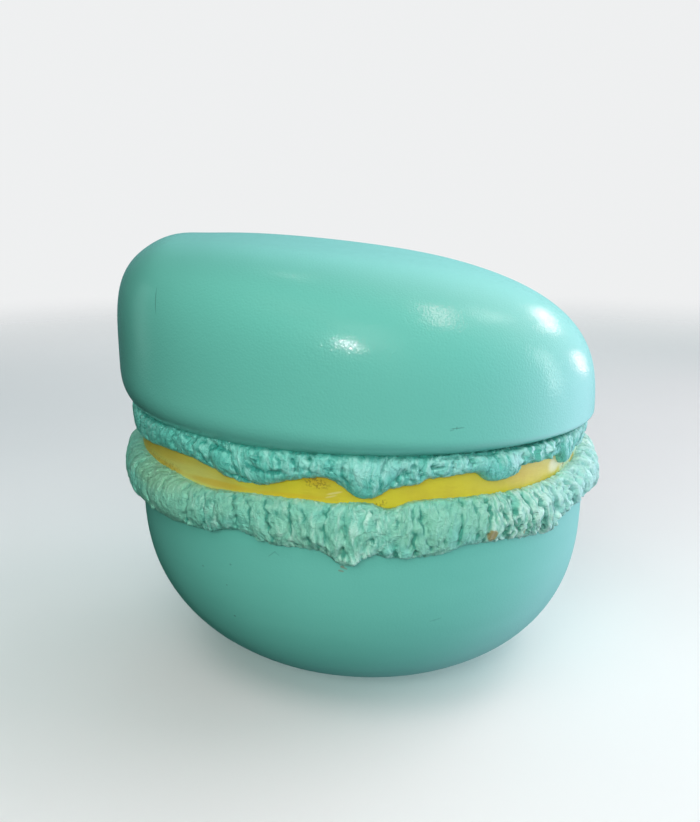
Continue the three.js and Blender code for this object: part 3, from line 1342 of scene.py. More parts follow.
        bearing = g.kept(Kept.BEARING) - g.kept(Kept.DRAWN)
        stray = g.noise(spot(bearing, "Crumple", "Stray"), 1.0, 2.5) - 0.5
        turn = bearing + stray * g.given("Crumple Pitch") * g.given("Stray") / ring
        thread = g.noise(spot(turn, "Thread"), 1.0, 3.0, Roughness=0.6)
        bark = g.noise(spot(turn, "Bark"), 1.0, 2.0, Roughness=0.5)
        crest = (1 - g.ramp(abs(bark - 0.5), 0.0, g.given("Bark Width"))) ** 1.5
        slit_wave = g.noise(spot(turn + 1.0, "Bark", "Slit"), 0.8, 1.5)
        slit = 1 - g.ramp(abs(slit_wave - 0.5), 0.0, g.given("Slit Width"))
        slit = slit * g.ramp(stray, -SLIT_FADE, SLIT_FADE)
        wrinkle = puffs(turn, "Wrinkle", 2.0, 0.6)
        crease = 1 - g.ramp(wrinkle, 0.0, g.given("Crease Width"))
        crumple = puffs(turn + 2.0, "Crumple", 4.0, 0.5)
        lump = g.noise(spot(bearing, "Lump"), 1.0, 1.0)
        puffed, folded = (
            g.math("MINIMUM", height, PUFF_TOP) - PUFF_MEAN for height in (wrinkle, crumple)
        )
        raised = (
            (thread - 0.5) * 2 * g.given("Thread Depth")
            + (crest - CREST_MEAN) * torn * g.given("Bark Depth")
            - slit * torn * g.given("Slit Depth")
            + puffed * (torn + 0.4) * g.given("Wrinkle Depth")
            + folded * g.given("Crumple Depth")
            + (lump - 0.5) * 2 * g.given("Lump Depth")
        )
        low, high = g.given("Lower Calm"), g.given("Upper Calm")
        calm = low + g.ramp(around, g.given("Calm From"), g.given("Calm To")) * (high - low)
        calm = calm * rough
        edge = around + (crumple - 0.4) * 0.4
        groove = g.ramp(edge, g.given("Groove From"), g.given("Groove To")) * g.given("Groove")
        lift = g.given("Proud") + raised * calm - groove - g.kept(Kept.CARVED)
        lift = lift * g.kept(Kept.EXPOSED)
        normal = g.out(g.node("GeometryNodeInputNormal"))
        here = g.out(g.node("GeometryNodeInputPosition"))
        place = g.vector_math("ADD", here, g.vector_math("SCALE", normal, lift))
        low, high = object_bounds()
        place = g.vector_math("MAXIMUM", place, tuple(x + CLEAR for x in low))
        place = g.vector_math("MINIMUM", place, tuple(x - CLEAR for x in high))
        # cut sets the painted shade of the creases and pits in the finish
        cut = g.kept(Kept.CUT) + slit * torn * 0.6 + crease * 0.5
        roll = g.keep(g.given("Geometry"), Kept.CUT, cut)
        # ridges painted paler, as rubbed paint and painted highlight, most where the foam is torn
        light = crest * torn * 0.6 + (thread - 0.45) * 0.7 + g.math("MINIMUM", wrinkle, 0.8) * 0.5
        roll = g.keep(roll, Kept.CREST, light * rough)
        lay = g.vector(g.math("SINE", turn) * ring, g.math("COSINE", turn) * ring, around * girth)
        roll = g.keep(roll, Kept.LAY, lay, "FLOAT_VECTOR")
        inputs = {"Geometry": roll, "Position": place}
        g.finish(g.out(g.node("GeometryNodeSetPosition", inputs=inputs)))
        return g


# --------------------------------------------------------------------------- the macaron

FOOT_RADIUS = 224 * MM

TOP_OUTLINE = Outline(
    radius=240 * MM,
    shift=-2 * MM,
    waist=289.1 * MM,
    waist_tilt=-23.8 * MM,
    rise=129 * MM,
    rise_tilt=-3.9 * MM,
    crown_power=4.15,
    crown_lean=-0.65,
    crown_oval=-0.665,
    shoulder=4.1 * MM,
    shoulder_width=0.092,
    drop=44.5 * MM,
    drop_tilt=-30.8 * MM,
    tuck_power=2.81,
    tuck_lean=-0.1,
    floor=261.2 * MM,
    floor_tilt=-7.6 * MM,
    ceiling=HIGHEST,
)

BOTTOM_OUTLINE = Outline(
    radius=228.8 * MM,
    shift=2.7 * MM,
    waist=171.7 * MM,
    rise=45 * MM,
    crown_power=4.0,
    drop=176.8 * MM,
    tuck_power=2.478,
    tuck_lean=0.18,
    floor=0.0,
    ceiling=200 * MM,
)

FILLING_OUTLINE = Outline(
    radius=224 * MM,
    shift=0.0,
    waist=236 * MM,
    rise=20 * MM,
    crown_power=9.0,
    drop=22 * MM,
    tuck_power=9.0,
    floor=214 * MM,
    ceiling=HIGHEST,
)


# A row gives a bearing and a share for a fold's start, bend and end, its depth and its width.
LOWER_FOOT_FOLDS = folds(
    (-70, 0.2, -72, 0.5, -71, 0.9, 3.2), (-66, 0.2, -67.5, 0.5, -65, 0.9, 1.8),
    (-61, 0.25, -62.5, 0.6, -59, 0.95, 2.6, 1.2), (-56.5, 0.2, -58.5, 0.6, -54, 0.95, 1.6),
    (-51.5, 0.2, -54.5, 0.55, -49, 0.95, 2.4, 1.3), (-46.5, 0.55, -47.5, 0.75, -43, 0.97, 1.5),
    (-40.6, 0.12, -39.4, 0.5, -40.5, 0.9, 3.6, 1.3), (-37.6, 0.3, -37.8, 0.6, -37, 0.9, 1.2),
    (-33.8, 0.15, -34.2, 0.5, -35.5, 0.9, 2.3, 1.3), (-30.6, 0.25, -31.2, 0.5, -32, 0.8, 1.3),
    (-26.4, 0.12, -26.6, 0.5, -28.4, 0.9, 2.8, 1.3), (-22.6, 0.3, -23.2, 0.6, -24.5, 0.9, 1.5),
    (-18.2, 0.1, -18.9, 0.5, -20.8, 0.9, 3.4, 1.3), (-16.4, 0.4, -16.8, 0.6, -17.6, 0.85, 1.2),
    (-13.4, 0.08, -14.4, 0.5, -15.2, 0.92, 3.2, 1.3), (-10.2, 0.2, -11.2, 0.5, -11.8, 0.8, 1.4),
    (-6.8, 0.1, -7.5, 0.5, -6.6, 0.85, 2.6, 1.3), (-4, 0.14, -3.9, 0.4, -3.7, 0.62, 5.5, 1.1),
    (1.2, 0.82, 2.2, 0.68, 3.3, 0.5, 2.4, 1.2), (3.6, 0.15, 3, 0.3, 1.6, 0.42, 2.4, 1.4),
    (6.8, 0.12, 6.2, 0.25, 6.6, 0.4, 2.2, 1.4), (6.4, 0.6, 7.2, 0.75, 6.9, 0.9, 1.5),
    (10.6, 0.12, 9.9, 0.5, 10.4, 0.9, 3.2, 1.2), (9.2, 0.3, 8.9, 0.55, 9.3, 0.85, -1.3, 1.6),
    (11.7, 0.85, 12, 0.5, 14.6, 0.18, 3.4, 1.2), (17, 0.1, 16.2, 0.3, 16.8, 0.55, 1.3),
    (19, 0.15, 20, 0.55, 20.4, 0.95, 2, 1.1), (22.8, 0.2, 23.4, 0.55, 23.2, 0.92, 1.3),
    (25.6, 0.12, 26.4, 0.5, 26.4, 0.95, 3.4, 1), (25, 0.3, 25.4, 0.5, 25.4, 0.9, -1.1, 1.3),
    (30.8, 0.2, 30.2, 0.5, 29, 0.92, 2.6, 1.3), (34.4, 0.15, 33.4, 0.5, 32, 0.9, 3, 1.3),
    (38.2, 0.12, 37.2, 0.5, 35.6, 0.92, 3.2, 1.3), (42.6, 0.02, 41.6, 0.35, 39.4, 0.9, 5.2, 1.5),
    (44.8, 0.4, 43.6, 0.6, 42.4, 0.92, 2.6, 1.2), (48.4, 0.02, 46.8, 0.42, 44.4, 0.92, 4.8, 1.5),
    (50.8, 0.4, 49.4, 0.6, 47.8, 0.92, 2.4, 1.2), (54.6, 0.02, 52.8, 0.42, 50.8, 0.92, 4.6, 1.5),
    (57.4, 0.4, 56, 0.6, 54.4, 0.92, 2.6, 1.2), (60.8, 0.02, 58.8, 0.42, 57, 0.92, 4.2, 1.5),
    (66.6, 0.05, 64.6, 0.42, 62.8, 0.92, 3.8, 1.4), (71.4, 0.05, 70, 0.45, 68.6, 0.9, 3.4, 1.4),
)

LOWER_FOOT_DENTS = (
    Dent(0.2, 0.83, 6.5, 4, -1.6, Form.RING), Dent(-46, 0.4, 14, 11, -1.2),
    Dent(-1.6, 0.2, 5, 4, -2.6), Dent(1.4, 0.18, 4, 4, -2.4), Dent(4.9, 0.22, 5, 7, -2.2),
    Dent(8.4, 0.22, 6, 7, -2.4), Dent(-9, 0.35, 10, 12, -1.5), Dent(-52.8, 0.22, 4, 2, -2),
    Dent(-39.8, 0.2, 4, 2.2, -2.4), Dent(-33, 0.16, 6, 2.6, -1.6), Dent(-21.6, 0.16, 4, 2, -2.2),
    Dent(15.6, 0.75, 9, 5, 1.4), Dent(29, 0.62, 4, 3, 2), Dent(11, 0.64, 1.6, 3, 2.5),
)

UPPER_FOOT_FOLDS = folds(
    (-57, 0, -58, 0.35, -57, 0.75, 2.4), (-51, 0, -52.5, 0.35, -51.5, 0.75, 2),
    (-44.4, 0.05, -45, 0.4, -44.6, 0.75, 2.6, 1.2), (-42.6, 0.1, -43.2, 0.4, -42.8, 0.7, 1.4, 1),
    (-39, 0.05, -39.6, 0.4, -39, 0.75, 2.4, 1.2), (-36.8, 0.05, -38, 0.45, -37, 0.75, 2, 1.1),
    (-34.8, 0.1, -35.8, 0.45, -35, 0.7, 1.4, 1), (-31.4, 0.05, -33.8, 0.4, -31.6, 0.72, 4, 1.3),
    (-34.4, 0.6, -31, 0.66, -27.4, 0.6, 3.6, 1.4), (-27, 0.12, -26.6, 0.36, -28, 0.62, 3, 1.2),
    (-24.6, 0.56, -20.8, 0.42, -15.2, 0.36, 3, 1.3), (-29.6, 0.2, -26, 0.2, -22, 0.1, 2.4, 1.2),
    (-17.8, 0.66, -16.6, 0.56, -17, 0.42, 2, 1), (-21.4, 0.7, -21.8, 0.6, -21, 0.5, 1.8, 1),
    (-14, 0.7, -13.6, 0.5, -13.9, 0.3, 2, 1.1), (-10.9, 0.3, -10.5, 0.5, -10.6, 0.75, 3, 1.2),
    (-6.6, 0.7, -6.2, 0.5, -5, 0.36, 2.6, 1.2), (-3.2, 0.72, -4.2, 0.52, -3, 0.26, 3.6, 1.3),
    (-1.2, 0.45, -0.6, 0.3, 0.2, 0.16, 1.2, 1), (4.2, 0.75, 4.3, 0.66, 4, 0.52, 2.6, 1.1),
    (6.2, 0.22, 6.6, 0.36, 7.4, 0.5, 2, 1.1), (9.6, 0.26, 9.2, 0.4, 8.4, 0.5, 2, 1.1),
    (11, 0.6, 11.2, 0.42, 12.2, 0.3, 1.8, 1.1), (12.8, 0.64, 14.3, 0.48, 16.2, 0.56, 2.2, 1.1),
    (18.3, 0.72, 18.4, 0.5, 18, 0.34, 1.8, 1.1), (21.6, 0.7, 22.2, 0.55, 22.8, 0.42, 2, 1.1),
    (28.2, 0.72, 28.4, 0.6, 29, 0.45, 1.6, 1), (36.8, 0.0, 36.6, 0.3, 35.4, 0.7, 3.4, 1.2),
    (37.8, 0.68, 38, 0.5, 38.4, 0.25, -1.2, 1.4), (38.6, 0.7, 38.7, 0.45, 38.8, 0.1, 2, 1.1),
    (40, 0.7, 40.4, 0.5, 41, 0.26, -2, 1.7), (42.6, 0.7, 42.8, 0.4, 43, 0.05, 2.4, 1.2),
    (44.4, 0.68, 45, 0.45, 45.8, 0.2, -2.2, 1.8), (47.6, 0.7, 48, 0.4, 48.2, 0, 2.8, 1.2),
    (50, 0.7, 49.6, 0.4, 50, 0.05, 2, 1.1), (56.4, 0.7, 56.6, 0.35, 57, 0, 3.4, 1.4),
    (61, 0.7, 61.4, 0.4, 61, 0.05, 2.6, 1.3),
)

UPPER_FOOT_DENTS = (
    Dent(-39.6, 0.68, 5, 3, 2.6), Dent(-34.8, 0.68, 4, 3, 2.6), Dent(-30, 0.42, 9, 8, -1.6),
    Dent(-10.6, 0.68, 2.6, 4, 4.5), Dent(-3.8, 0.22, 6, 6, 1.6), Dent(1, 0.4, 16, 12, -1),
    Dent(0.4, 0.12, 14, 7, -1.2), Dent(-1.8, 0.64, 3, 2, -1.6), Dent(7.9, 0.5, 5, 4, 3.4),
    Dent(10, 0.6, 3, 3, 2.4), Dent(18, 0.75, 10, 3, 2.6), Dent(22.7, 0.64, 1.8, 2.4, 3),
    Dent(26, 0.78, 14, 3, 2.2), Dent(30, 0.16, 11, 7, -1.8), Dent(53.4, 0.3, 9, 10, -1.8),
)

# The bowl, satin, with a few scuffs and a stain under the longest drip.
BOTTOM_SHELL_ENAMEL = Enamel(
    "bottom_shell_enamel",
    gloss=0.42,
    shine=0.3,
    peel=0.1 * MM,
    streaks=0.45,
    marks=patches(
        (-75.4, -214.3, 177.6, 5, 0.6, 40, 0.3, 1.2), (-71, -216, 178.6, 3.4, 0.6, -35, 0.22, 1.2),
        (-112, -186.2, 106.4, 1.3, 1.1, 0, 0.7), (-139.9, -177.3, 150.1, 1.3, 1, 0, 0.5),
        (-112.8, -196.7, 160.1, 1.4, 1, 0, 0.45), (-117.3, -192, 138.9, 1.1, 1, 0, 0.45),
        (60, -207, 118, 7, 0.7, 12, 0.25), (181, 92, 140, 9, 0.8, -20, 0.4),
        (-60, 205, 120, 1.6, 1.3, 0, 0.6),
    ),
    stains=patches(
        (-16.5, -227.4, 171.6, 1.4, 2.4, 75, 0.6, 2.6),
        (-17.8, -227.2, 168.2, 0.9, 2.6, 80, 0.5, 2.6),
        (-13.6, -227.6, 170.4, 0.8, 1.6, 60, 0.4, 2.2),
    ),
)
BOTTOM_SHELL = Shell(
    "bottom_shell", "shell_bottom", "bottom_shell_paint", BOTTOM_OUTLINE, seed=11.0
)

# The broad ridged roll under the filling.
MINT_FOAM_PAINT = FoamPaint(
    "mint_foam_paint",
    colour=(0.23, 0.58, 0.43),
    blotch=(0.18, 0.58, 0.46),
    ridge=(0.64, 0.88, 0.77),
    crease=(0.045, 0.29, 0.22),
    smeared=patches((-178, -132, 226, 64, 14, 0, 0.17, 1.6, 0.9)),
    # painted highlight over the pale, brightly lit right side of the roll
    chalked=patches((205, -120, 212, 80, 40, 0, 0.5, 1.6, 0.9)),
    chips=patches(
        (108.5, -212.9, 193.2, 4.8, 7, 0, 0.97, 1.2), (138.5, -194.9, 190.6, 3, 2.6, 0, 0.75, 1.6),
        (-150, 186, 205, 5, 4, 0, 0.8, 1.4),
    ),
)
BOTTOM_FOOT = Foot(
    "bottom_foot",
    "foot_bottom",
    "bottom_foot_paint",
    lower=Edge(
        185.4,
        ((-1, -2), (2, -0.9)),
        (
            Lobe(-27, 5, -6.3), Lobe(-3.1, 3.4, 13.6), Lobe(8.8, 6, 7.1), Lobe(16, 3.2, 3.3),
            Lobe(60, 11.4, -10.5, 8), Lobe(37.5, 2.6, 2, 4), Lobe(45, 3, 4.8, 4),
            Lobe(48.6, 1, -2), Lobe(50.8, 2, 3.6, 4), Lobe(53.2, 1, -2.4), Lobe(55.4, 2, 2.6, 4),
            Lobe(57.8, 1, -2), Lobe(60.4, 2.2, 2, 4), Lobe(104, 7, 5), Lobe(139, 5, 8),
            Lobe(176, 12, 5), Lobe(-148, 6, 9), Lobe(-109, 8, 4),
        ),
    ),
    upper=Edge(
        230,
        ((-3.6, -2.6), (0.1, 0.8)),
        (
            Lobe(-37, 8, 3), Lobe(-7, 3, 1.5), Lobe(5.8, 3, 6), Lobe(45, 19, 5), Lobe(118, 8, 3.5),
            Lobe(171, 11, -3), Lobe(-133, 9, 4),
        ),
    ),
    bulge=Bulge(16.8 * MM, -3 * MM, 0.7),
    lower_radius=BOTTOM_OUTLINE.radius - 2 * MM,
    lower_shift=BOTTOM_OUTLINE.shift,
    upper_radius=FOOT_RADIUS - 2 * MM,
    layer=(200.3 * MM, 213.7 * MM),
    foam=Foam(
        thread_pitch=2.6 * MM,
        thread_depth=1.25 * MM,
        wrinkle_depth=1.2 * MM,
        crumple_depth=1.8 * MM,
        crumple_stretch=3.6,
        seed=2.0,
    ),
    folds=LOWER_FOOT_FOLDS,
    dents=LOWER_FOOT_DENTS,
    calm=(
        Dent(-42, 0.42, 15, 13, 0.85), Dent(-56, 0.4, 22, 24, 0.4), Dent(-70, 0.5, 20, 30, 0.4),
        Dent(17.5, 0.5, 30, 26, 0.5), Dent(-22, 0.5, 24, 24, 0.3),
    ),
    torn=(
        (-180, 0.5), (-110, 0.3), (-70, 0.1), (-40, 0.15), (-16, 0.3), (0, 0.45), (10, 0.25),
        (24, 0.25), (30, 0.7), (36, 1.0), (80, 1.0), (180, 0.5),
    ),
    seed=4,
)

# The painted disc.
FILLING_YELLOW = FillingPaint(
    "filling_yellow",
    smudges=patches(
        (-38, -220.8, 242, 12, 5, -10, 0.8, 2.5, 0.6), (8, -223.9, 225, 5, 3, 0, 0.7, 2.5, 0.6),
        (15.6, -223.5, 226, 5, 3, 20, 0.7, 2.5, 0.6), (-185, -126, 232, 40, 5, 0, 0.5, 2.5, 0.6),
        (186, -125, 227.5, 4, 3, 10, 0.9, 2.5, 0.6), (201, -99, 230, 4, 3, 10, 0.9, 2.5, 0.6),
        (-150, 166, 236, 12, 4, 0, 0.7, 2.5, 0.6),
    ),
    rubbed=patches(
        (-22.6, -222.9, 234, 7, 0.9, 12, 0.3, 2, 0.7),
        (-25.6, -222.5, 231, 5, 0.8, 14, 0.25, 2, 0.7),
        (175, -139, 234, 14, 8, 15, 0.85, 1.2, 0.7), (184, -127, 230, 9, 5, 10, 0.6, 1.2, 0.7),
        (199, -103, 235, 10, 8, 15, 0.8, 1.2, 0.7), (152, -164, 236, 40, 22, 10, 0.06, 0.8, 0.8),
        (120, 189, 236, 20, 8, 0, 0.6, 1.4, 0.6),
    ),
    greened=patches(
        (190, -119, 226, 20, 4, 6, 0.7, 1.8, 0.6), (212, -72, 230, 26, 14, 0, 0.95, 0.8, 0.5),
        (-120, -190, 222, 30, 3, 0, 0.45, 2.5, 0.5), (60, 216, 224, 30, 3, 0, 0.6, 2.5, 0.5),
    ),
    # painted shade over the left end
    dulled=patches(
        (-172, -142, 231, 105, 30, 0, 0.55, 0.6, 0.9), (-150, -164, 229, 44, 12, 0, 0.5, 0.8, 0.9),
    ),
    # orange edges, partly painted shade under the upper roll
    warmed=patches(
        (-185, -127, 244, 60, 7, 0, 0.4, 1.0, 0.8), (-206, -88, 238, 22, 14, 0, 0.55, 1.0, 0.8),
        (-185, -127, 230, 46, 4, 0, 0.6, 1.5, 0.7), (-124, -187, 230, 40, 3.2, 0, 0.55, 1.5, 0.7),
        (-58, -216, 229.5, 30, 2.4, 0, 0.4, 1.5, 0.7), (-36, -221, 246, 16, 6, 0, 0.5, 1.5, 0.8),
        (142, -173, 242, 34, 12, 0, 0.35, 1.5, 0.8), (150, -166, 232, 30, 8, 0, 0.2, 1.5, 0.8),
    ),
)
FILLING_DISC = Shell(
    "filling_disc",
    "filling",
    "filling_paint",
    FILLING_OUTLINE,
    rows=60,
    waviness=0.8 * MM,
    wave_length=45 * MM,
    seed=5.0,
)

# The lobed roll that hangs over the filling.
TURQUOISE_FOAM_PAINT = FoamPaint(
    "turquoise_foam_paint",
    colour=(0.125, 0.54, 0.44),
    blotch=(0.165, 0.59, 0.5),
    ridge=(0.52, 0.88, 0.79),
    crease=(0.025, 0.28, 0.225),
    # painted highlights on the white wedges and lit lumps at the right and front
    chalked=patches(
        (146.1, -181.7, 257, 6, 2.2, 80, 0.95, 0.8, 0.35),
        (152.4, -177.2, 255, 5, 1.5, 100, 0.9, 0.8, 0.35),
        (161.9, -168.2, 256, 6.4, 2.2, 95, 0.95, 0.8, 0.35),
        (168.7, -161.2, 256, 5.4, 1.6, 80, 0.9, 0.8, 0.35),
        (80, -219, 258, 30, 8, 0, 0.12, 1.8, 0.8), (130, -193, 254, 9, 7, 0, 0.45, 1.2, 0.7),
        (12, -233, 259, 34, 8, 0, 0.14, 1.8, 0.8),
    ),
    chalk=(0.62, 0.97, 0.95),
    ridge_share=0.56,
    gloss=0.3,
    smear_from=2.0,
    # painted shadow under the shell over the roll's top
    shadow_from=0.72,
)
TOP_FOOT = Foot(
    "top_foot",
    "foot_top",
    "top_foot_paint",
    lower=Edge(
        246.1,
        ((0.9, -1.9), (3.7, -2.2)),
        (
            Lobe(-24.4, 11.6, 16.1, 2), Lobe(0.6, 5.8, 18.9, 2.4), Lobe(9, 3.5, 5.8, 5),
            Lobe(14, 6, 3.1, 2), Lobe(31.1, 5.7, 8.4, 6), Lobe(54.9, 3.4, 10, 5),
            Lobe(65.5, 3.2, 5), Lobe(86, 7, 3), Lobe(112, 5, 10), Lobe(149, 10, 8),
            Lobe(-171, 6, 12), Lobe(-142, 8, 7), Lobe(-108, 9, 10), Lobe(-68, 14, 4),
        ),
    ),
    upper=Edge(270.5, ((0, -9),), (Lobe(-58, 12, 4),)),
    bulge=Bulge(10.5 * MM, 1.5 * MM, 0.8),
    lower_radius=FOOT_RADIUS - 2 * MM,
    lower_shift=0.0,
    upper_radius=FOOT_RADIUS,
    layer=(256.3 * MM, 262 * MM),
    foam=Foam(
        thread_depth=0.7 * MM,
        bark_pitch=7 * MM,
        bark_depth=1.5 * MM,
        slit_depth=1.2 * MM,
        wrinkle_pitch=6.5 * MM,
        wrinkle_depth=1.6 * MM,
        wrinkle_stretch=2.2,
        crumple_pitch=13 * MM,
        crumple_depth=3.2 * MM,
        crumple_stretch=1.8,
        lump_pitch=24 * MM,
        lump_depth=2 * MM,
        lower_calm=0.6,
        upper_calm=1.0,
        groove=2 * MM,
        seed=7.0,
    ),
    folds=UPPER_FOOT_FOLDS,
    dents=UPPER_FOOT_DENTS,
    calm=(
        Dent(27, 0.25, 24, 16, 0.8), Dent(49.5, 0.3, 14, 14, 0.9), Dent(57, 0.25, 12, 14, 0.9),
        Dent(40, 0.2, 12, 13, 0.7), Dent(-30, 0.45, 9, 8, 0.7), Dent(-46, 0.4, 26, 20, 0.55),
        Dent(0, 0.1, 20, 8, 0.6),
    ),
    torn=((-180, 0.6), (-40, 0.4), (0, 0.6), (40, 0.9), (80, 0.9), (180, 0.6)),
    front=(-61, 65),
    drawn_folds=DrawnFolds(gap=(3.5, 6.5)),
    seed=9,
    rows=44,
    girth=48 * MM,
)

# The leaning dome, semi-gloss.
TOP_SHELL_ENAMEL = Enamel(
    "top_shell_enamel",
    marks=patches(
        (-172.6, -159.3, 382.2, 13.5, 0.7, 110, 0.5, 0.5),
        (74.7, -227.7, 289.6, 8, 0.5, 0, 0.5, 1.6), (74, -228, 289.6, 0.7, 1.9, 0, 0.4, 1.4),
        (70, -229, 288.4, 2.2, 0.8, 8, 0.3, 1.4), (-150, 180, 350, 10, 0.7, 30, 0.5, 0.6),
        (120, 200, 300, 1.5, 1.2, 0, 0.5, 0.6),
    ),
)
TOP_SHELL = Shell(
    "top_shell", "shell_top", "top_shell_paint", TOP_OUTLINE, turns=576, rows=170
)


@dataclass(frozen=True)
class Macaron:
    """The whole prop: its pieces from the floor up, each with its finish."""

    pieces: tuple[tuple[Piece, Finish], ...] = (
        (BOTTOM_SHELL, BOTTOM_SHELL_ENAMEL),
        (BOTTOM_FOOT, MINT_FOAM_PAINT),
        (FILLING_DISC, FILLING_YELLOW),
        (TOP_FOOT, TURQUOISE_FOAM_PAINT),
        (TOP_SHELL, TOP_SHELL_ENAMEL),
    )

    def build(self) -> None:
        """Builds every piece."""
        for piece, finish in self.pieces:
            piece.build(finish.material())


# --------------------------------------------------------------------------- the studio

MIDDLE = (0.0, 0.0, 0.28)  # the middle of the prop, which the lights face


@dataclass(frozen=True)
class Softbox:
    """A soft light that faces the middle of the prop."""

    name: str
    bearing: float
    elevation: float
    distance: float
    width: float
    height: float
    watts: float
    colour: Colour = (1.0, 1.0, 1.0)
    roll: float = 0.0  # degrees about the way it faces
    mirrored: bool = False  # whether glossy surfaces show it

    def build(self) -> None:
        """Hangs the light."""
        lamp = bpy.data.lights.new(self.name, "AREA")
        lamp.shape = "RECTANGLE"
        lamp.size, lamp.size_y = self.width, self.height
        lamp.energy = self.watts
        lamp.color = self.colour
        holder = place_object(self.name, lamp)
        way = towards(self.bearing, self.elevation)
        holder.location = Vector(MIDDLE) + way * self.distance
        spin = Quaternion((0, 0, 1), math.radians(self.roll))
        holder.rotation_euler = (way.to_track_quat("Z", "Y") @ spin).to_euler()
        holder.visible_camera = False
        holder.visible_glossy = self.mirrored


@dataclass(frozen=True)
class Glow:
    """A broad soft glow of the surround, brightest in one direction."""

    bearing: float
    elevation: float
    strength: float
    colour: Colour = (1.0, 1.0, 1.0)


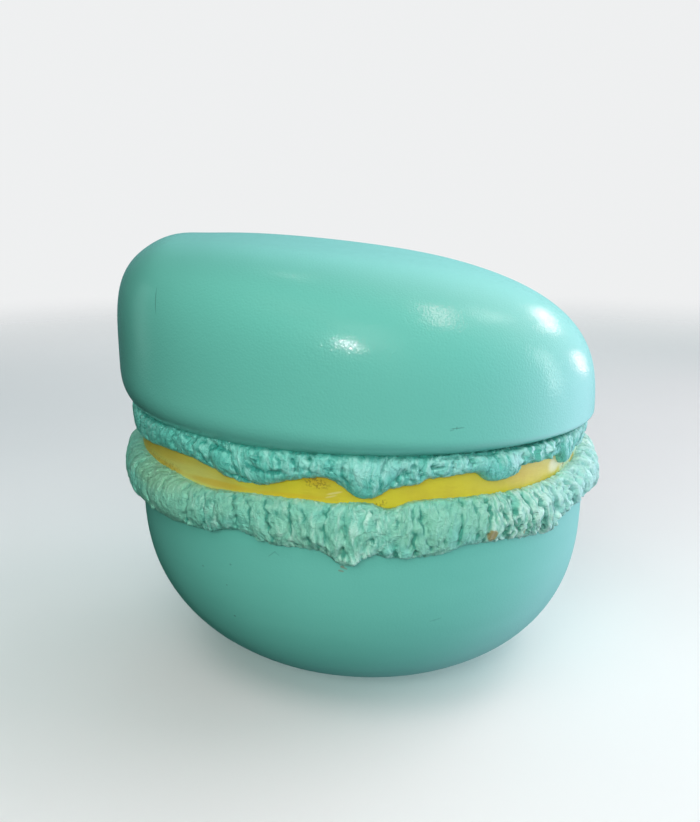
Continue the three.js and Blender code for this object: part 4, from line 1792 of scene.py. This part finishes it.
@dataclass
class Studio:
    """The camera, the floor, the surround and the lights."""

    camera_place: Point = (-10.25 * MM, -872.7 * MM, 465.7 * MM)
    camera_pitch: float = 0.246  # radians below level
    focal_pixels: float = 850.0
    frame_height: float = 822.0
    sensor: float = 24.0
    sight: float = 50.0  # how far the camera sees
    floor_half: float = 6.0
    floor_fades: tuple[float, float] = (0.9, 3.6)  # from the middle, where it starts and ends
    floor_colour: Colour = (0.9, 0.89, 0.88)
    backdrop: Colour = (0.86, 0.87, 0.875)
    glows: tuple[Glow, ...] = (
        Glow(15, -20, 0.22, (0.95, 1.0, 0.95)),
        Glow(110, -35, 1.0, (0.82, 1.0, 1.15)),
        Glow(95, -15, 0.95, (0.9, 1.0, 1.35)),
        Glow(112, 0, 0.7, (0.7, 1.0, 1.25)),
        Glow(160, 20, 0.95, (0.4, 1.0, 1.02)),
        Glow(120, 35, 0.97, (1.1, 1.0, 1.07)),
        Glow(180, 15, 0.14, (0.5, 1.0, 1.0)),
    )
    lights: tuple[Softbox, ...] = (
        Softbox("low_left_softbox", -15, 26, 2.4, 1.2, 0.6, 18.8, (0.68, 1.0, 0.93)),
        Softbox("low_front_softbox", 3, 15, 2.4, 1.6, 0.7, 13, (0.84, 1.0, 0.95)),
        Softbox("back_softbox", -172, 22, 2.4, 1.4, 1.0, 6),
        Softbox("high_left_softbox", -25, 55, 2.3, 1.3, 1.1, 12.2, (1.14, 1.0, 1.0)),
        Softbox("high_right_softbox", 35, 38, 2.2, 1.4, 1.0, 3.0, (1.5, 1.0, 1.1)),
        Softbox("right_softbox", 90, 2, 2.2, 1.4, 1.0, 2.2, (0.7, 1.0, 1.1)),
        Softbox("front_lamp", -1, 18.5, 2.4, 0.06, 0.07, 6, (1.2, 0.95, 1.0), mirrored=True),
        Softbox("front_halo", 3, 23, 2.4, 0.2, 0.3, 0.3, (1.2, 0.95, 1.0), mirrored=True),
        Softbox("ceiling_panel", 103, 43.6, 1.9, 0.5, 0.22, 0.25, mirrored=True),
        Softbox("front_panel", 8, 33, 2.4, 0.9, 1.1, 3, mirrored=True),
        Softbox("side_lamp", 80, 56, 1.9, 1.05, 0.25, 3.6, (1.4, 0.9, 0.95), 28, True),
        Softbox("low_side_panel", 114, 43, 1.9, 0.4, 0.4, 0.7, mirrored=True),
        Softbox("high_strip", -165, 65, 1.9, 0.24, 0.05, 0.24, mirrored=True),
        Softbox("left_panel", -110, 6, 1.9, 0.4, 1.0, 0.55, (0.6, 1.0, 0.9), 4, True),
        Softbox("window_softbox", 134, 19.5, 1.9, 0.6, 0.15, 1.4, (1.3, 1.0, 1.0), mirrored=True),
        Softbox("low_window", 126, 1, 1.9, 0.22, 0.26, 0.65, (1.5, 1.0, 1.0), mirrored=True),
        Softbox("window_frame", 96, 6, 1.9, 0.14, 0.8, 1.7, mirrored=True),
    )

    def build(self) -> None:
        """Sets the stage."""
        self.camera()
        self.floor()
        self.world()
        for light in self.lights:
            light.build()
        bpy.context.scene.view_settings.view_transform = "Standard"

    def camera(self) -> None:
        """The camera, level across and pitched down a little."""
        lens = bpy.data.cameras.new("camera")
        lens.sensor_fit = "VERTICAL"
        lens.sensor_height = self.sensor
        lens.lens = self.sensor * self.focal_pixels / self.frame_height
        lens.clip_end = self.sight
        holder = place_object("camera", lens)
        holder.location = self.camera_place
        holder.rotation_euler = (math.pi / 2 - self.camera_pitch, 0, 0)
        bpy.context.scene.camera = holder

    def floor(self) -> None:
        """A pale floor."""
        half = self.floor_half
        corners = [(-half, -half, 0), (half, -half, 0), (half, half, 0), (-half, half, 0)]
        mesh = bpy.data.meshes.new("floor")
        mesh.from_pydata(corners, [], [(0, 1, 2, 3)])
        s = Shader("pale_floor")
        lighter = tuple(x * 1.03 for x in self.floor_colour)
        tone = s.mix(s.noise(s.place, 3.0, 2.0), self.floor_colour, lighter)
        near = 1 - s.ramp(s.vector_math("LENGTH", s.place), *self.floor_fades)
        finish = s.finish(tone, 0.7, s.noise(s.place, 90.0), 0.05 * MM, Alpha=near)
        mesh.materials.append(finish)
        sheet = place_object("floor", mesh)
        sheet.visible_diffuse = False  # the lower glows stand for the light it throws back
        sheet.visible_glossy = False
        sheet.visible_shadow = False
        sheet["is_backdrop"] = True

    def world(self) -> None:
        """A surround that glows behind and at the right, and looks plain and pale itself."""
        world = bpy.data.worlds.new("surround")
        world.use_nodes = True
        g = Graph(world.node_tree)
        g.tree.nodes.clear()
        look = g.out(g.node("ShaderNodeTexCoord"), "Generated")
        light = None
        for glow in self.glows:
            way = tuple(towards(glow.bearing, glow.elevation))
            facing = g.math("MAXIMUM", g.vector_math("DOT_PRODUCT", look, way), 0.0)
            inputs = {"Color": rgba(glow.colour), "Strength": facing**GLOW_POWER * glow.strength}
            share = g.out(g.node("ShaderNodeBackground", inputs=inputs))
            both = {0: light, 1: share}
            light = g.out(g.node("ShaderNodeAddShader", inputs=both)) if light else share
        plain_look = {"Color": rgba(self.backdrop), "Strength": 1.0}
        seen = g.out(g.node("ShaderNodeLightPath"), "Is Camera Ray")
        pale = g.out(g.node("ShaderNodeBackground", inputs=plain_look))
        both = g.out(g.node("ShaderNodeMixShader", inputs={0: seen, 1: light, 2: pale}))
        g.node("ShaderNodeOutputWorld", inputs={"Surface": both})
        bpy.context.scene.world = world


def main() -> None:
    """Loads the frame, builds the studio and the prop."""
    logging.basicConfig(level=logging.INFO, format="%(name)s: %(message)s")
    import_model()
    Studio().build()
    Macaron().build()


if __name__ == "__main__":
    main()
